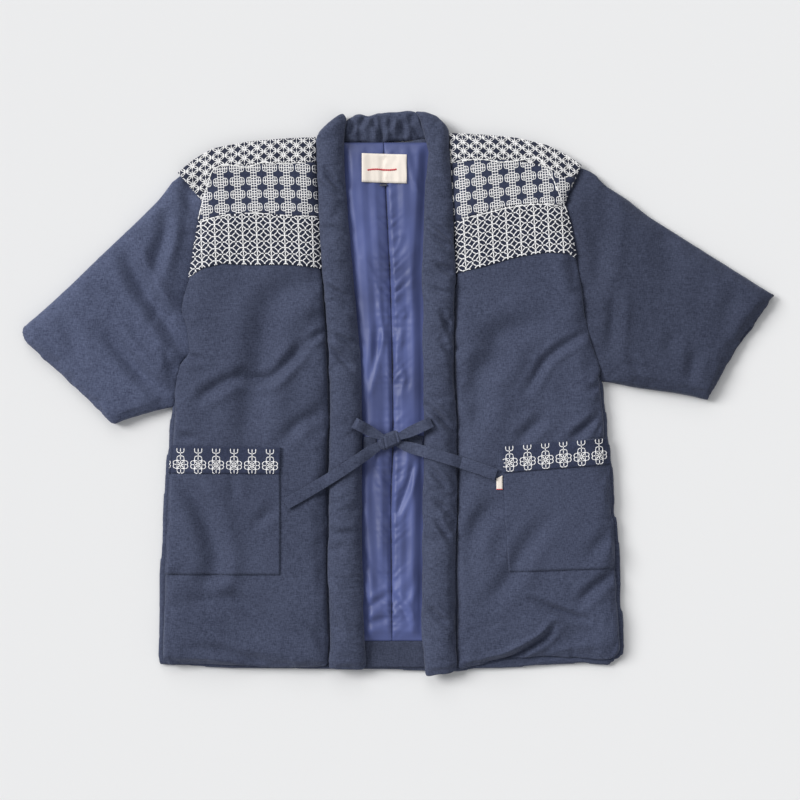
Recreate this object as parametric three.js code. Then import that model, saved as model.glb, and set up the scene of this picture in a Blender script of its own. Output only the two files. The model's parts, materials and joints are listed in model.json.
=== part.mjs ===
import * as THREE from 'three';

/*
 * Padded hanten jacket, laid on its back with the fronts tied closed.
 * Millimetres. +X runs to the wearer's left sleeve, +Y to the collar, +Z up off the surface it lies on.
 * Every piece is a closed wall of cloth, or of cloth and wadding, as it is cut and sewn.
 */

// ---------------------------------------------------------------- driving dimensions
const GAP = 0.3; // between neighbouring pieces at a seam
const MIDDLE = { x: 2.1, y: -3.05 }; // moves the middle of the laid garment to the origin
const CLOTH = 1.2; // stitched strips and bands
const POCKET_CLOTH = 1.6;
const LABEL_CLOTH = 0.8;
const FACING_CLOTH = 1.8;
const BACK = { thick: 9, lowEdge: 2.4, highEdge: 6.4, round: 4 };
const FRONT = { floor: BACK.thick + GAP, edge: 4.6, rise: 7.9, chamfer: 1.4 };
const FRONT_ROUND = { side: 26, seam: 15, shoulder: 18, hem: 20 }; // how far each edge's rounding reaches in
const COLLAR = { floor: 12.3, edge: 4.4, rise: 7.6, nose: 2.7, foldFloor: 2.4 };
const COLLAR_ROUND = { seam: 13, free: 10, foot: 12 };
const NECK_COLLAR = { edge: 5.2, rise: 7.2, lowEnd: 10.4, width: 38, columns: 24, pucker: 1.1, chamfer: 2 };
const NECK_ROUND = { seam: 12, free: 9 };
const SLEEVE = { armhole: 12.5, rise: 8.6, nose: 4, chamfer: 2.2, edgeWall: 9 };
const SLEEVE_SLIT = { rootHeight: 6.2, height: 9.4, open: 1, cuffOpen: 2.6 };
const SLEEVE_ROUND = { top: 22, underarm: 20, cuff: 9, armhole: 46, armholeFull: 0.25 };
const LINING = { floor: BACK.thick + GAP, thick: 1.5, puff: 4, underCollar: 22, rows: 16, chamfer: 0.4 };
const TIE = { width: 16, thick: 2.4, rootThick: 2, crown: 0.35, loopWidth: 15, loopGap: 1.6 };
const KNOT = { x: -13.5, y: -61, low: 15.6, high: 29, halfLength: 16.5, halfWidth: 10.5, turn: 0.42 };
const ROW_STEP = 34; // widest distance between two cross rows of a front

// ---------------------------------------------------------------- cut tables
// A row of a front: its point on the side edge, how far the back shows past it there, its point on the
// collar seam, and how far it bows up off a straight line at five places between them.
const BOW_AT = [0, 0.06, 0.12, 0.25, 0.5, 0.75, 1];
const FLAT = [0, 0, 0, 0, 0];
const RIGHT_ROWS = [
  { line: 'shoulder', sideX: -305, sideY: 307, peek: 0, seamX: -116, seamY: 356, bow: [7, 13, 21, 18, 10] },
  { line: 'rounding', sideX: -298, sideY: 299, peek: 0, seamX: -115.6, seamY: 349, bow: [8, 13, 21, 18, 9] },
  { line: 'strip 1', sideX: -273, sideY: 270, peek: 0, seamX: -115, seamY: 322, bow: [24, 37, 34, 23, 12] },
  { line: 'strip 2', sideX: -278, sideY: 241, peek: 0, seamX: -111.5, seamY: 248, bow: [2, 4, 7, 8, 1] },
  { line: 'elbow', sideX: -285, sideY: 200, peek: 0, seamX: -109.5, seamY: 210, bow: [4, 7, 11, 9, 5] },
  { line: 'strip 3', sideX: -291, sideY: 164, peek: 0, seamX: -107.5, seamY: 176, bow: [6, 11, 15, 10, 8] },
  { line: 'crease', sideX: -297, sideY: 143, peek: 0, seamX: -105, seamY: 152, bow: [4, 8, 11, 8, 6] },
  { line: 'crease', sideX: -303, sideY: 119, peek: 0, seamX: -103, seamY: 126, bow: [2, 5, 7, 6, 4] },
  { line: 'crease', sideX: -294, sideY: 93, peek: 0, seamX: -101, seamY: 98, bow: [1, 2, 4, 3, 2] },
  { line: 'crease', sideX: -291, sideY: 60, peek: 0, seamX: -99, seamY: 64, bow: FLAT },
  { line: 'crease', sideX: -303, sideY: 45, peek: 0, seamX: -98, seamY: 44, bow: FLAT },
  { line: 'crease', sideX: -309, sideY: 24, peek: 0, seamX: -97, seamY: 19, bow: FLAT },
  { line: 'underarm', sideX: -315, sideY: -15, peek: 1, seamX: -96.5, seamY: -14, bow: FLAT },
  { line: 'body', sideX: -318, sideY: -40, peek: 3, seamX: -96.2, seamY: -42, bow: FLAT },
  { line: 'band top', sideX: -320, sideY: -67.5, peek: 4, seamX: -98.2, seamY: -72, bow: FLAT },
  { line: 'band foot', sideX: -325, sideY: -106.5, peek: 4, seamX: -99, seamY: -107.5, bow: FLAT },
  { line: 'body', sideX: -328, sideY: -182, peek: 4.5, seamX: -99, seamY: -182, bow: FLAT },
  { line: 'pocket foot', sideX: -332, sideY: -246, peek: 4.5, seamX: -99.4, seamY: -246, bow: FLAT },
  { line: 'body', sideX: -332, sideY: -283, peek: 4.5, seamX: -98, seamY: -280, bow: FLAT },
  { line: 'body', sideX: -334, sideY: -340, peek: 4, seamX: -96.2, seamY: -338, bow: FLAT },
  { line: 'body', sideX: -335, sideY: -362, peek: 3.5, seamX: -97.6, seamY: -367, bow: [-1, -1, 0, -1, -1] },
  { line: 'hem', sideX: -331.5, sideY: -371, peek: 3, seamX: -98.4, seamY: -377, bow: [-3, -2, -1, -3, -3] },
];
const LEFT_ROWS = [
  { line: 'shoulder', sideX: 250.5, sideY: 317.4, peek: 0, seamX: 69, seamY: 361.5, bow: [5, 9, 16, 16, 9] },
  { line: 'rounding', sideX: 247.6, sideY: 311, peek: 0, seamX: 69.4, seamY: 354, bow: [3, 6, 14, 16, 9] },
  { line: 'strip 1', sideX: 244, sideY: 302, peek: 0, seamX: 70.8, seamY: 321, bow: [-1, -3, 9, 13, 9] },
  { line: 'strip 2', sideX: 228, sideY: 265, peek: 0, seamX: 75.3, seamY: 240, bow: [-3, 1, 7, 9, 6] },
  { line: 'elbow', sideX: 237, sideY: 235, peek: 0, seamX: 76.6, seamY: 211, bow: [1, 5, 9, 10, 6] },
  { line: 'strip 3', sideX: 245, sideY: 190, peek: 0, seamX: 78, seamY: 169, bow: [6, 9, 13, 12, 5] },
  { line: 'crease', sideX: 252, sideY: 153, peek: 0, seamX: 77, seamY: 144, bow: [3, 5, 7, 6, 3] },
  { line: 'crease', sideX: 256, sideY: 116, peek: 0, seamX: 76, seamY: 112, bow: [1, 2, 3, 3, 1] },
  { line: 'crease', sideX: 265, sideY: 76, peek: 0, seamX: 75.3, seamY: 73, bow: FLAT },
  { line: 'crease', sideX: 277, sideY: 42, peek: 0, seamX: 75.4, seamY: 42, bow: FLAT },
  { line: 'underarm', sideX: 281, sideY: 20, peek: 0, seamX: 76, seamY: 19, bow: FLAT },
  { line: 'body', sideX: 287, sideY: -30, peek: 0, seamX: 79, seamY: -33, bow: FLAT },
  { line: 'band top', sideX: 289.4, sideY: -57.7, peek: 1, seamX: 79.6, seamY: -74, bow: FLAT },
  { line: 'band foot', sideX: 294.6, sideY: -94.1, peek: 1.5, seamX: 80, seamY: -111, bow: FLAT },
  { line: 'body', sideX: 299, sideY: -146, peek: 2, seamX: 79.4, seamY: -152, bow: FLAT },
  { line: 'nick', sideX: 297, sideY: -160, peek: 1.5, seamX: 79, seamY: -168, bow: FLAT },
  { line: 'body', sideX: 302.5, sideY: -177, peek: 3, seamX: 78.4, seamY: -186, bow: FLAT },
  { line: 'pocket foot', sideX: 306, sideY: -237, peek: 4, seamX: 77.4, seamY: -245, bow: FLAT },
  { line: 'body', sideX: 307.5, sideY: -262, peek: 3.5, seamX: 78, seamY: -268, bow: FLAT },
  { line: 'nick', sideX: 305, sideY: -281, peek: 2, seamX: 78.8, seamY: -288, bow: FLAT },
  { line: 'body', sideX: 309, sideY: -300, peek: 3, seamX: 77.6, seamY: -308, bow: FLAT },
  { line: 'body', sideX: 312, sideY: -348, peek: 3, seamX: 79, seamY: -352, bow: [1, 1, 3, 6, 5] },
  { line: 'body', sideX: 309, sideY: -358, peek: 3, seamX: 80, seamY: -370, bow: [0, 2, 7, 11, 9] },
  { line: 'hem', sideX: 303, sideY: -366, peek: 3, seamX: 79.2, seamY: -381, bow: [0, 2, 7, 11, 9] },
];

// Where the pocket's inner edge crosses a front, as a share of its width.
const POCKET_EDGE = {
  right: [{ y: -60, at: 0.7 }, { y: -250, at: 0.713 }],
  left: [{ y: -60, at: 0.705 }, { y: -150, at: 0.7 }, { y: -250, at: 0.668 }],
};

// The free edge of each collar stretch, by the height of the seam point it lies across from.
const RIGHT_COLLAR = [
  { seamY: 357.4, freeX: -72.5, freeY: 382.5 },
  { seamY: 351, freeX: -74.7, freeY: 371 },
  { seamY: 326, freeX: -75.2, freeY: 339.5 },
  { seamY: 300, freeX: -74.1, freeY: 303.6 },
  { seamY: 264, freeX: -72, freeY: 266 },
  { seamY: 176, freeX: -64.2, freeY: 181 },
  { seamY: 120, freeX: -59, freeY: 122 },
  { seamY: 59, freeX: -53.7, freeY: 59 },
  { seamY: -41, freeX: -50.4, freeY: -39 },
  { seamY: -170, freeX: -51, freeY: -170 },
  { seamY: -295, freeX: -49, freeY: -296 },
  { seamY: -377, freeX: -45.3, freeY: -378 },
];
const LEFT_COLLAR = [
  { seamY: 362.6, freeX: 23.5, freeY: 389.5 },
  { seamY: 354, freeX: 28, freeY: 380 },
  { seamY: 341, freeX: 38, freeY: 362 },
  { seamY: 330, freeX: 40.4, freeY: 350 },
  { seamY: 300, freeX: 36.6, freeY: 308 },
  { seamY: 229, freeX: 32, freeY: 230 },
  { seamY: 169, freeX: 30, freeY: 172 },
  { seamY: 120, freeX: 32, freeY: 120 },
  { seamY: 59, freeX: 31.6, freeY: 59 },
  { seamY: -33, freeX: 33, freeY: -34 },
  { seamY: -170, freeX: 31.6, freeY: -170 },
  { seamY: -264, freeX: 29.8, freeY: -264 },
  { seamY: -323, freeX: 30, freeY: -324 },
  { seamY: -381, freeX: 36, freeY: -387.5 },
];
// The fold of the collar over each shoulder: seam end, free end and how far it bulges between them.
const RIGHT_FOLD = { seamX: -115.2, seamY: 358.6, freeX: -77.7, freeY: 391, bulge: 2, stepX: -113.4 };
const LEFT_FOLD = { seamX: 69.2, seamY: 363.6, freeX: 21, freeY: 393.6, bulge: 9, stepX: 68.6 };

// The back neckline, and above it the free edge of the neck stretch of the collar.
const NECKLINE = [
  { x: -100, y: 353, topX: -70.8, topY: 380.5 },
  { x: -73, y: 348.2, topX: -60, topY: 386.5 },
  { x: -46, y: 348.2, topX: -44, topY: 386.5 },
  { x: -25, y: 349, topX: -24, topY: 390 },
  { x: 0, y: 351.6, topX: -4, topY: 391 },
  { x: 26, y: 354.8, topX: 12, topY: 391.5 },
  { x: 41, y: 356.6, topX: 17, topY: 390.6 },
  { x: 58, y: 359.6, topX: 20.5, topY: 388.6 },
];
// The foot of the back between the two sides.
const HEM = [
  { x: -280, y: -374.5 },
  { x: -216, y: -377 },
  { x: -120, y: -378.5 },
  { x: -20, y: -379 },
  { x: 81, y: -381 },
  { x: 111, y: -377.5 },
  { x: 172, y: -375 },
  { x: 211, y: -371.5 },
  { x: 255, y: -370 },
  { x: 289, y: -372.5 },
];
// The centre seam of the lining, from neck to hem.
const LINING_SEAM = [
  { y: 350, x: -22 },
  { y: 246, x: -17 },
  { y: 159, x: -12.5 },
  { y: 59, x: -10 },
  { y: -62, x: -8.5 },
  { y: -140, x: -12 },
  { y: -244, x: -11 },
  { y: -340, x: -10 },
];
const LINING_END = { top: 345, foot: -338.5 };

// Each sleeve: its folded top edge, its underarm edge and its cuff, from the body outwards.
const RIGHT_SLEEVE = {
  top: [[-305.5, 307], [-333, 272], [-375, 231], [-432, 177], [-476, 134], [-521.5, 94]],
  underarm: [[-315.5, -15], [-353, -25], [-382, -34], [-395, -40]],
  cuff: [[-521.5, 94], [-523.5, 80], [-511, 68], [-453, 15], [-395, -40]],
};
const LEFT_SLEEVE = {
  top: [[251, 317.4], [269, 308], [282, 295], [294, 283], [308, 278], [343, 250], [427, 197], [519, 139]],
  underarm: [[281.5, 20], [327, 11], [390, 2], [426, -5]],
  cuff: [[519, 139], [512, 130], [496, 105], [478, 80], [463, 59], [450, 38], [446, 26], [437, 14], [426, -5]],
};

// Folds: a soft trough along a curve from a by way of b to c; width is its half width.
const RIGHT_FOLDS = [
  { ax: -108, ay: 172, bx: -190, by: 130, cx: -193, cy: 60, width: 15, depth: 3.6 },
  { ax: -193, ay: 70, bx: -205, by: 10, cx: -212, cy: -66, width: 17, depth: 3.8 },
  { ax: -128, ay: 78, bx: -160, by: 18, cx: -215, cy: 26, width: 13, depth: 4 },
  { ax: -200, ay: 26, bx: -245, by: 20, cx: -280, cy: -8, width: 12, depth: 3.4 },
  { ax: -106, ay: -16, bx: -135, by: -30, cx: -164, cy: -66, width: 12, depth: 2.4 },
  { ax: -308, ay: -110, bx: -262, by: -160, cx: -250, cy: -236, width: 17, depth: 4.2 },
  { ax: -250, ay: -230, bx: -256, by: -262, cx: -292, cy: -286, width: 14, depth: 2.4 },
  { ax: -290, ay: -286, bx: -215, by: -282, cx: -135, cy: -338, width: 18, depth: 2.4 },
];
const LEFT_FOLDS = [
  { ax: 258, ay: 88, bx: 196, by: 70, cx: 172, cy: 4, width: 12, depth: 3.6 },
  { ax: 196, ay: 100, bx: 120, by: 100, cx: 108, cy: 10, width: 17, depth: 3.2 },
  { ax: 110, ay: 20, bx: 118, by: -20, cx: 92, cy: -50, width: 15, depth: 3 },
  { ax: 272, ay: -28, bx: 250, by: -52, cx: 232, cy: -64, width: 9, depth: 2.6 },
  { ax: 196, ay: -30, bx: 176, by: -48, cx: 160, cy: -64, width: 12, depth: 2.2 },
  { ax: 134, ay: -146, bx: 96, by: -180, cx: 98, cy: -250, width: 17, depth: 3 },
  { ax: 205, ay: -172, bx: 160, by: -230, cx: 125, cy: -284, width: 16, depth: 2.8 },
  { ax: 294, ay: -246, bx: 262, by: -262, cx: 246, cy: -284, width: 14, depth: 2.8 },
  { ax: 152, ay: -366, bx: 195, by: -330, cx: 268, cy: -326, width: 13, depth: 6.2 },
];
const RIGHT_SLEEVE_FOLDS = [
  { ax: -372, ay: 214, bx: -350, by: 130, cx: -298, cy: 60, width: 17, depth: 5 },
  { ax: -322, ay: 264, bx: -322, by: 200, cx: -340, cy: 150, width: 15, depth: 3 },
  { ax: -412, ay: 96, bx: -366, by: 40, cx: -318, cy: 2, width: 17, depth: 4 },
];
const LEFT_SLEEVE_FOLDS = [
  { ax: 276, ay: 300, bx: 276, by: 220, cx: 270, cy: 140, width: 22, depth: 4.4 },
  { ax: 300, ay: 130, bx: 300, by: 60, cx: 292, cy: 30, width: 18, depth: 3 },
  { ax: 410, ay: 60, bx: 402, by: 40, cx: 400, cy: 18, width: 13, depth: 2.2 },
];
const RIGHT_COLLAR_FOLDS = [
  { ax: -103, ay: 309, bx: -92, by: 290, cx: -78, cy: 281, width: 7, depth: 1.8 },
  { ax: -100, ay: 150, bx: -88, by: 140, cx: -70, cy: 136, width: 7, depth: 1.4 },
  { ax: -89, ay: 84, bx: -76, by: 80, cx: -62, cy: 70, width: 8, depth: 1.8 },
  { ax: -97, ay: 66, bx: -84, by: 50, cx: -66, cy: 40, width: 7, depth: 1.2 },
];
const LEFT_COLLAR_FOLDS = [
  { ax: 42, ay: 238, bx: 56, by: 224, cx: 70, cy: 216, width: 7, depth: 1.8 },
  { ax: 48, ay: 180, bx: 58, by: 172, cx: 74, cy: 170, width: 7, depth: 1.4 },
  { ax: 58, ay: 114, bx: 66, by: 96, cx: 74, cy: 82, width: 7, depth: 2 },
  { ax: 36, ay: -11, bx: 56, by: -24, cx: 76, cy: -50, width: 6, depth: 3 },
  { ax: 52, ay: -144, bx: 60, by: -160, cx: 76, cy: -168, width: 7, depth: 1.6 },
];

const COLOURS = {
  cloth: { color: '#4b5065', roughness: 0.92 },
  darkCloth: { color: '#41475c', roughness: 0.92 },
  strips: { color: '#3c4159', roughness: 0.88 },
  lining: { color: '#555c90', roughness: 0.42 },
  label: { color: '#d9d4cc', roughness: 0.8 },
};

// ---------------------------------------------------------------- small tools
const mix = THREE.MathUtils.lerp;
const clamp = THREE.MathUtils.clamp;
const at = (x, y, z) => new THREE.Vector3(x, y, z);

/** How full a padded piece is at a distance from its sewn edge: 0 on the edge, 1 past the rounding. */
const swell = (distance, rounding) => Math.sqrt(1 - (1 - clamp(distance / rounding, 0, 1)) ** 2);

/** One column of a table at a value of its key column, straight between rows. */
function read(table, key, value, column) {
  const rising = table[0][key] < table.at(-1)[key];
  let next = 1;
  while (next < table.length - 1 && (rising ? table[next][key] < value : table[next][key] > value)) next += 1;
  const before = table[next - 1];
  const after = table[next];
  const share = clamp((value - before[key]) / (after[key] - before[key]), 0, 1);
  return mix(before[column], after[column], share);
}

/** A list of numbers read at a share between given places. */
function along(places, values, share) {
  const rows = places.map((place, i) => ({ place, value: values[i] }));
  return read(rows, 'place', share, 'value');
}

/** Sum of the folds of a panel at a point: troughs along curves, fading out at their ends. */
function foldsAt(folds, x, y) {
  let depth = 0;
  for (const fold of folds) {
    const curve = new THREE.QuadraticBezierCurve(
      new THREE.Vector2(fold.ax, fold.ay),
      new THREE.Vector2(fold.bx, fold.by),
      new THREE.Vector2(fold.cx, fold.cy),
    );
    let nearest = Infinity;
    let where = 0;
    for (let step = 0; step <= 16; step += 1) {
      const point = curve.getPoint(step / 16);
      const distance = Math.hypot(point.x - x, point.y - y);
      if (distance < nearest) {
        nearest = distance;
        where = step / 16;
      }
    }
    const fade = Math.sqrt(Math.sin(Math.PI * clamp(where, 0.06, 0.94)));
    depth += fold.depth * fade * Math.exp(-((nearest / fold.width) ** 2));
  }
  return depth;
}

// ---------------------------------------------------------------- walls of cloth
/** Collects the triangles of one closed wall. */
class Wall {
  constructor() {
    this.corners = [];
  }

  face(a, b, c) {
    this.corners.push(a, b, c);
  }

  quad(a, b, c, d) {
    this.face(a, b, c);
    this.face(a, c, d);
  }

  /** A grid of points; faces up where columns run with +X and rows with -Y. */
  grid(rows, up = true) {
    for (let j = 0; j + 1 < rows.length; j += 1) {
      for (let i = 0; i + 1 < rows[j].length; i += 1) {
        const [a, b, c, d] = [rows[j][i], rows[j + 1][i], rows[j + 1][i + 1], rows[j][i + 1]];
        this.quad(...(up ? [a, b, c, d] : [a, d, c, b]));
      }
    }
  }

  /** A band between an upper and a lower loop that run the same way. */
  band(upper, lower) {
    upper.forEach((point, i) => {
      const next = (i + 1) % upper.length;
      this.quad(point, lower[i], lower[next], upper[next]);
    });
  }

  /** A flat floor or lid inside a loop: the best-shaped corner is cut off until none is left. */
  lid(loop, up) {
    const left = [...loop];
    const turn = (a, b, c) => (b.x - a.x) * (c.y - a.y) - (b.y - a.y) * (c.x - a.x);
    const spin = Math.sign(left.reduce((sum, p, i) => {
      const q = left[(i + 1) % left.length];
      return sum + p.x * q.y - q.x * p.y;
    }, 0));
    while (left.length > 2) {
      let best = { shape: -1, k: 0 };
      for (let k = 0; k < left.length; k += 1) {
        const a = left[(k + left.length - 1) % left.length];
        const b = left[k];
        const c = left[(k + 1) % left.length];
        const area = turn(a, b, c) * spin;
        const longest = Math.max(a.distanceTo(b), b.distanceTo(c), c.distanceTo(a));
        const shape = area / (longest * longest);
        const holds = (p) => turn(a, b, p) * spin > -1e-9
          && turn(b, c, p) * spin > -1e-9
          && turn(c, a, p) * spin > -1e-9;
        const clear = () => !left.some((p) => p !== a && p !== b && p !== c && holds(p));
        if (shape > best.shape && clear()) best = { shape, k, a, b, c };
      }
      this.face(...(up ? [best.a, best.b, best.c] : [best.c, best.b, best.a]));
      left.splice(best.k, 1);
    }
  }

  /** The finished mesh; its faces are turned to point out. */
  mesh(name, finish) {
    let volume = 0;
    for (let i = 0; i < this.corners.length; i += 3) {
      const [a, b, c] = this.corners.slice(i, i + 3);
      volume += a.dot(b.clone().cross(c));
    }
    const geometry = new THREE.BufferGeometry();
    const turned = volume < 0 ? [...this.corners].reverse() : this.corners;
    geometry.setFromPoints(turned);
    geometry.computeVertexNormals();
    const mesh = new THREE.Mesh(geometry, new THREE.MeshStandardMaterial({ metalness: 0, ...finish }));
    mesh.name = name;
    return mesh;
  }
}

/** The loop of border points of a grid: down the first column, along the foot, up and back. */
function border(rows) {
  const last = rows[0].length - 1;
  const foot = rows.length - 1;
  return [
    ...rows.map((row) => row[0]),
    ...rows[foot].slice(1, last),
    ...rows.map((row) => row[last]).reverse(),
    ...rows[0].slice(1, last).reverse(),
  ];
}

/** A loop moved inwards by a distance and set at one height. */
function inset(loop, distance, z) {
  const spin = Math.sign(loop.reduce((sum, p, i) => {
    const q = loop[(i + 1) % loop.length];
    return sum + p.x * q.y - q.x * p.y;
  }, 0));
  return loop.map((point, i) => {
    const before = loop[(i + loop.length - 1) % loop.length];
    const after = loop[(i + 1) % loop.length];
    const into = new THREE.Vector2(point.x - before.x, point.y - before.y).normalize();
    const away = new THREE.Vector2(after.x - point.x, after.y - point.y).normalize();
    const run = into.clone().add(away).normalize();
    const reach = distance / Math.max(0.6, Math.abs(run.dot(away)));
    return at(point.x - run.y * reach * spin, point.y + run.x * reach * spin, z);
  });
}

/** A padded panel: a shaped top over a flat floor with a small rounding under its rim. */
function panel(name, finish, top, floor, chamfer) {
  const wall = new Wall();
  const rim = border(top);
  const side = rim.map((point) => at(point.x, point.y, floor + chamfer));
  const foot = inset(rim, chamfer, floor);
  wall.grid(top);
  wall.band(rim, side);
  wall.band(side, foot);
  wall.lid(foot, false);
  return wall.mesh(name, finish);
}

/** A sheet between two grids of points. */
function sheet(name, finish, lower, upper) {
  const wall = new Wall();
  wall.grid(upper);
  wall.grid(lower, false);
  wall.band(border(upper), border(lower));
  return wall.mesh(name, finish);
}

/** Height of the highest of several meshes at a place, or undefined beside them. */
function heightOn(meshes, x, y) {
  let height;
  for (const mesh of meshes) {
    const places = mesh.geometry.getAttribute('position');
    for (let i = 0; i < places.count; i += 3) {
      const [a, b, c] = [i, i + 1, i + 2].map((k) => new THREE.Vector3().fromBufferAttribute(places, k));
      const area = (b.x - a.x) * (c.y - a.y) - (b.y - a.y) * (c.x - a.x);
      if (area <= 1e-6) continue;
      const s = ((x - a.x) * (c.y - a.y) - (y - a.y) * (c.x - a.x)) / area;
      const t = ((b.x - a.x) * (y - a.y) - (b.y - a.y) * (x - a.x)) / area;
      if (s < 0 || t < 0 || s + t > 1) continue;
      const z = a.z + s * (b.z - a.z) + t * (c.z - a.z);
      height = Math.max(height ?? z, z);
    }
  }
  return height;
}

// ---------------------------------------------------------------- fronts
const COLUMNS = [
  0, 0.02, 0.06, 0.12, 0.19, 0.26, 0.33, 0.4, 0.47, 0.54, 0.62, 0.7, 0.78, 0.86, 0.93, 0.975, 1,
];
const POCKET_COLUMN = COLUMNS.indexOf(0.7);

/** Cross rows of a front, with rows put in where the table's stand far apart. */
function crossRows(table) {
  const rows = [];
  table.forEach((row, k) => {
    if (k > 0) {
      const before = table[k - 1];
      const parts = Math.ceil(Math.max(before.sideY - row.sideY, before.seamY - row.seamY) / ROW_STEP);
      for (let part = 1; part < parts; part += 1) {
        const share = part / parts;
        const between = { line: 'between', bow: row.bow.map((value, i) => mix(before.bow[i], value, share)) };
        for (const column of ['sideX', 'sideY', 'peek', 'seamX', 'seamY']) {
          between[column] = mix(before[column], row[column], share);
        }
        rows.push(between);
      }
    }
    rows.push(row);
  });
  return rows;
}

/** A front panel: its rows, its grid of top points and its mesh. */
function makeFront(name, table, folds, pocketEdge, inward) {
  const rows = crossRows(table);
  const plan = rows.map((row) => COLUMNS.map((column) => {
    const edge = read(pocketEdge, 'y', row.sideY, 'at');
    const share = column < 0.7 ? column / 0.7 * edge : mix(edge, 1, (column - 0.7) / 0.3);
    const side = row.sideX + inward * row.peek;
    const y = mix(row.sideY, row.seamY, share) + along(BOW_AT, [0, ...row.bow, 0], share);
    return { x: mix(side, row.seamX, share), y };
  }));
  const foot = plan.length - 1;
  const top = plan.map((row) => row.map((point, i) => {
    const reach = (other) => Math.hypot(point.x - other.x, point.y - other.y);
    const full = swell(reach(row[0]), FRONT_ROUND.side) * swell(reach(row.at(-1)), FRONT_ROUND.seam)
      * swell(reach(plan[0][i]), FRONT_ROUND.shoulder) * swell(reach(plan[foot][i]), FRONT_ROUND.hem);
    const fold = foldsAt(folds, point.x, point.y) * Math.min(1, full * 1.5);
    return at(point.x, point.y, FRONT.floor + FRONT.edge + FRONT.rise * full - fold);
  }));
  return { rows, top, mesh: panel(name, COLOURS.cloth, top, FRONT.floor, FRONT.chamfer) };
}

const frontRight = makeFront('front_right', RIGHT_ROWS, RIGHT_FOLDS, POCKET_EDGE.right, 1);
const frontLeft = makeFront('front_left', LEFT_ROWS, LEFT_FOLDS, POCKET_EDGE.left, -1);

// ---------------------------------------------------------------- back
/** The padded back: both side edges, the hem, the shoulders and the neckline in one outline. */
function makeBack() {
  const outline = [];
  for (const row of frontRight.rows.slice(1)) outline.push(at(row.sideX, row.sideY, 0));
  outline.push(...HEM.map((point) => at(point.x, point.y, 0)));
  const leftSide = frontLeft.rows.slice(0, -1).map((row) => at(row.sideX, row.sideY, 0));
  outline.push(...leftSide.reverse());
  const shoulder = (front) => front.top[0].slice(1, -1).map((point) => at(point.x, point.y, 0));
  outline.push(...shoulder(frontLeft));
  outline.push(at(LEFT_ROWS[0].seamX, LEFT_ROWS[0].seamY, 0));
  outline.push(...[...NECKLINE].reverse().map((row) => at(row.x, row.y, 0)));
  outline.push(at(RIGHT_ROWS[0].seamX, RIGHT_ROWS[0].seamY, 0));
  outline.push(...shoulder(frontRight).reverse());
  outline.push(at(RIGHT_ROWS[0].sideX, RIGHT_ROWS[0].sideY, 0));
  const wall = new Wall();
  const level = (distance, z) => inset(outline, distance, z);
  const lid = level(BACK.round * 0.8, BACK.thick);
  const high = level(0, BACK.highEdge);
  const low = level(0, BACK.lowEdge);
  const floor = level(BACK.round, 0);
  wall.lid(lid, true);
  wall.band(lid, high);
  wall.band(high, low);
  wall.band(low, floor);
  wall.lid(floor, false);
  return wall.mesh('back', COLOURS.cloth);
}

// ---------------------------------------------------------------- stitched strips and pockets
/** A cloth laid on a front between two of its rows and two of its columns. */
function overlay(front, rowFrom, rowTo, columnTo, lift, thick) {
  const block = front.top.slice(rowFrom, rowTo + 1).map((row) => row.slice(0, columnTo + 1));
  const last = block.length - 1;
  const raise = (height) => block.map((row, j) => row.map((point) => {
    const trim = j === 0 ? -GAP / 2 : Number(j === last) * GAP / 2;
    return at(point.x, point.y + trim, point.z + height);
  }));
  return { lower: raise(lift), upper: raise(lift + thick) };
}

/** The top strip also goes over the shoulder's fold and down beside the back's edge. */
function overShoulder(cloth) {
  const first = cloth.lower[0];
  const down = (distance, z) => first.map((point, i) => {
    const before = first[Math.max(0, i - 1)];
    const after = first[Math.min(first.length - 1, i + 1)];
    const run = new THREE.Vector2(after.x - before.x, after.y - before.y).normalize();
    const out = Math.sign(run.x) * distance;
    return at(point.x - run.y * out, point.y + GAP / 2 + run.x * out, z ?? point.z);
  });
  const outer = GAP + CLOTH;
  cloth.lower.unshift(down(GAP, COLLAR.foldFloor), down(GAP));
  cloth.upper.unshift(down(outer, COLLAR.foldFloor), down(outer, FRONT.floor + FRONT.edge + CLOTH * 0.6));
}

/** Which cross row of a front carries a name. */
const rowOf = (front, name) => front.rows.findIndex((row) => row.line === name);

/** The three stitched strips over one shoulder. */
function makeStrips(side, front) {
  const lines = ['shoulder', 'strip 1', 'strip 2', 'strip 3'].map((name) => rowOf(front, name));
  return ['top', 'middle', 'bottom'].map((place, k) => {
    const cloth = overlay(front, lines[k], lines[k + 1], COLUMNS.length - 1, GAP, CLOTH);
    if (k === 0) overShoulder(cloth);
    return sheet(`yoke_${place}_${side}`, COLOURS.strips, cloth.lower, cloth.upper);
  });
}

/** A patch pocket and the stitched band over its mouth. */
function makePocket(side, front) {
  const bandTop = rowOf(front, 'band top');
  const bandFoot = rowOf(front, 'band foot');
  const pocketFoot = rowOf(front, 'pocket foot');
  const lay = (name, finish, foot, lift, thick) => {
    const cloth = overlay(front, bandTop, foot, POCKET_COLUMN, lift, thick);
    return sheet(name, finish, cloth.lower, cloth.upper);
  };
  return [
    lay(`pocket_${side}`, COLOURS.cloth, pocketFoot, GAP, POCKET_CLOTH),
    lay(`pocket_band_${side}`, COLOURS.strips, bandFoot, GAP + POCKET_CLOTH + GAP, CLOTH),
  ];
}

// ---------------------------------------------------------------- collar
const COLLAR_COLUMNS = [0, 0.06, 0.2, 0.5, 0.78, 0.93, 1];

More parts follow.
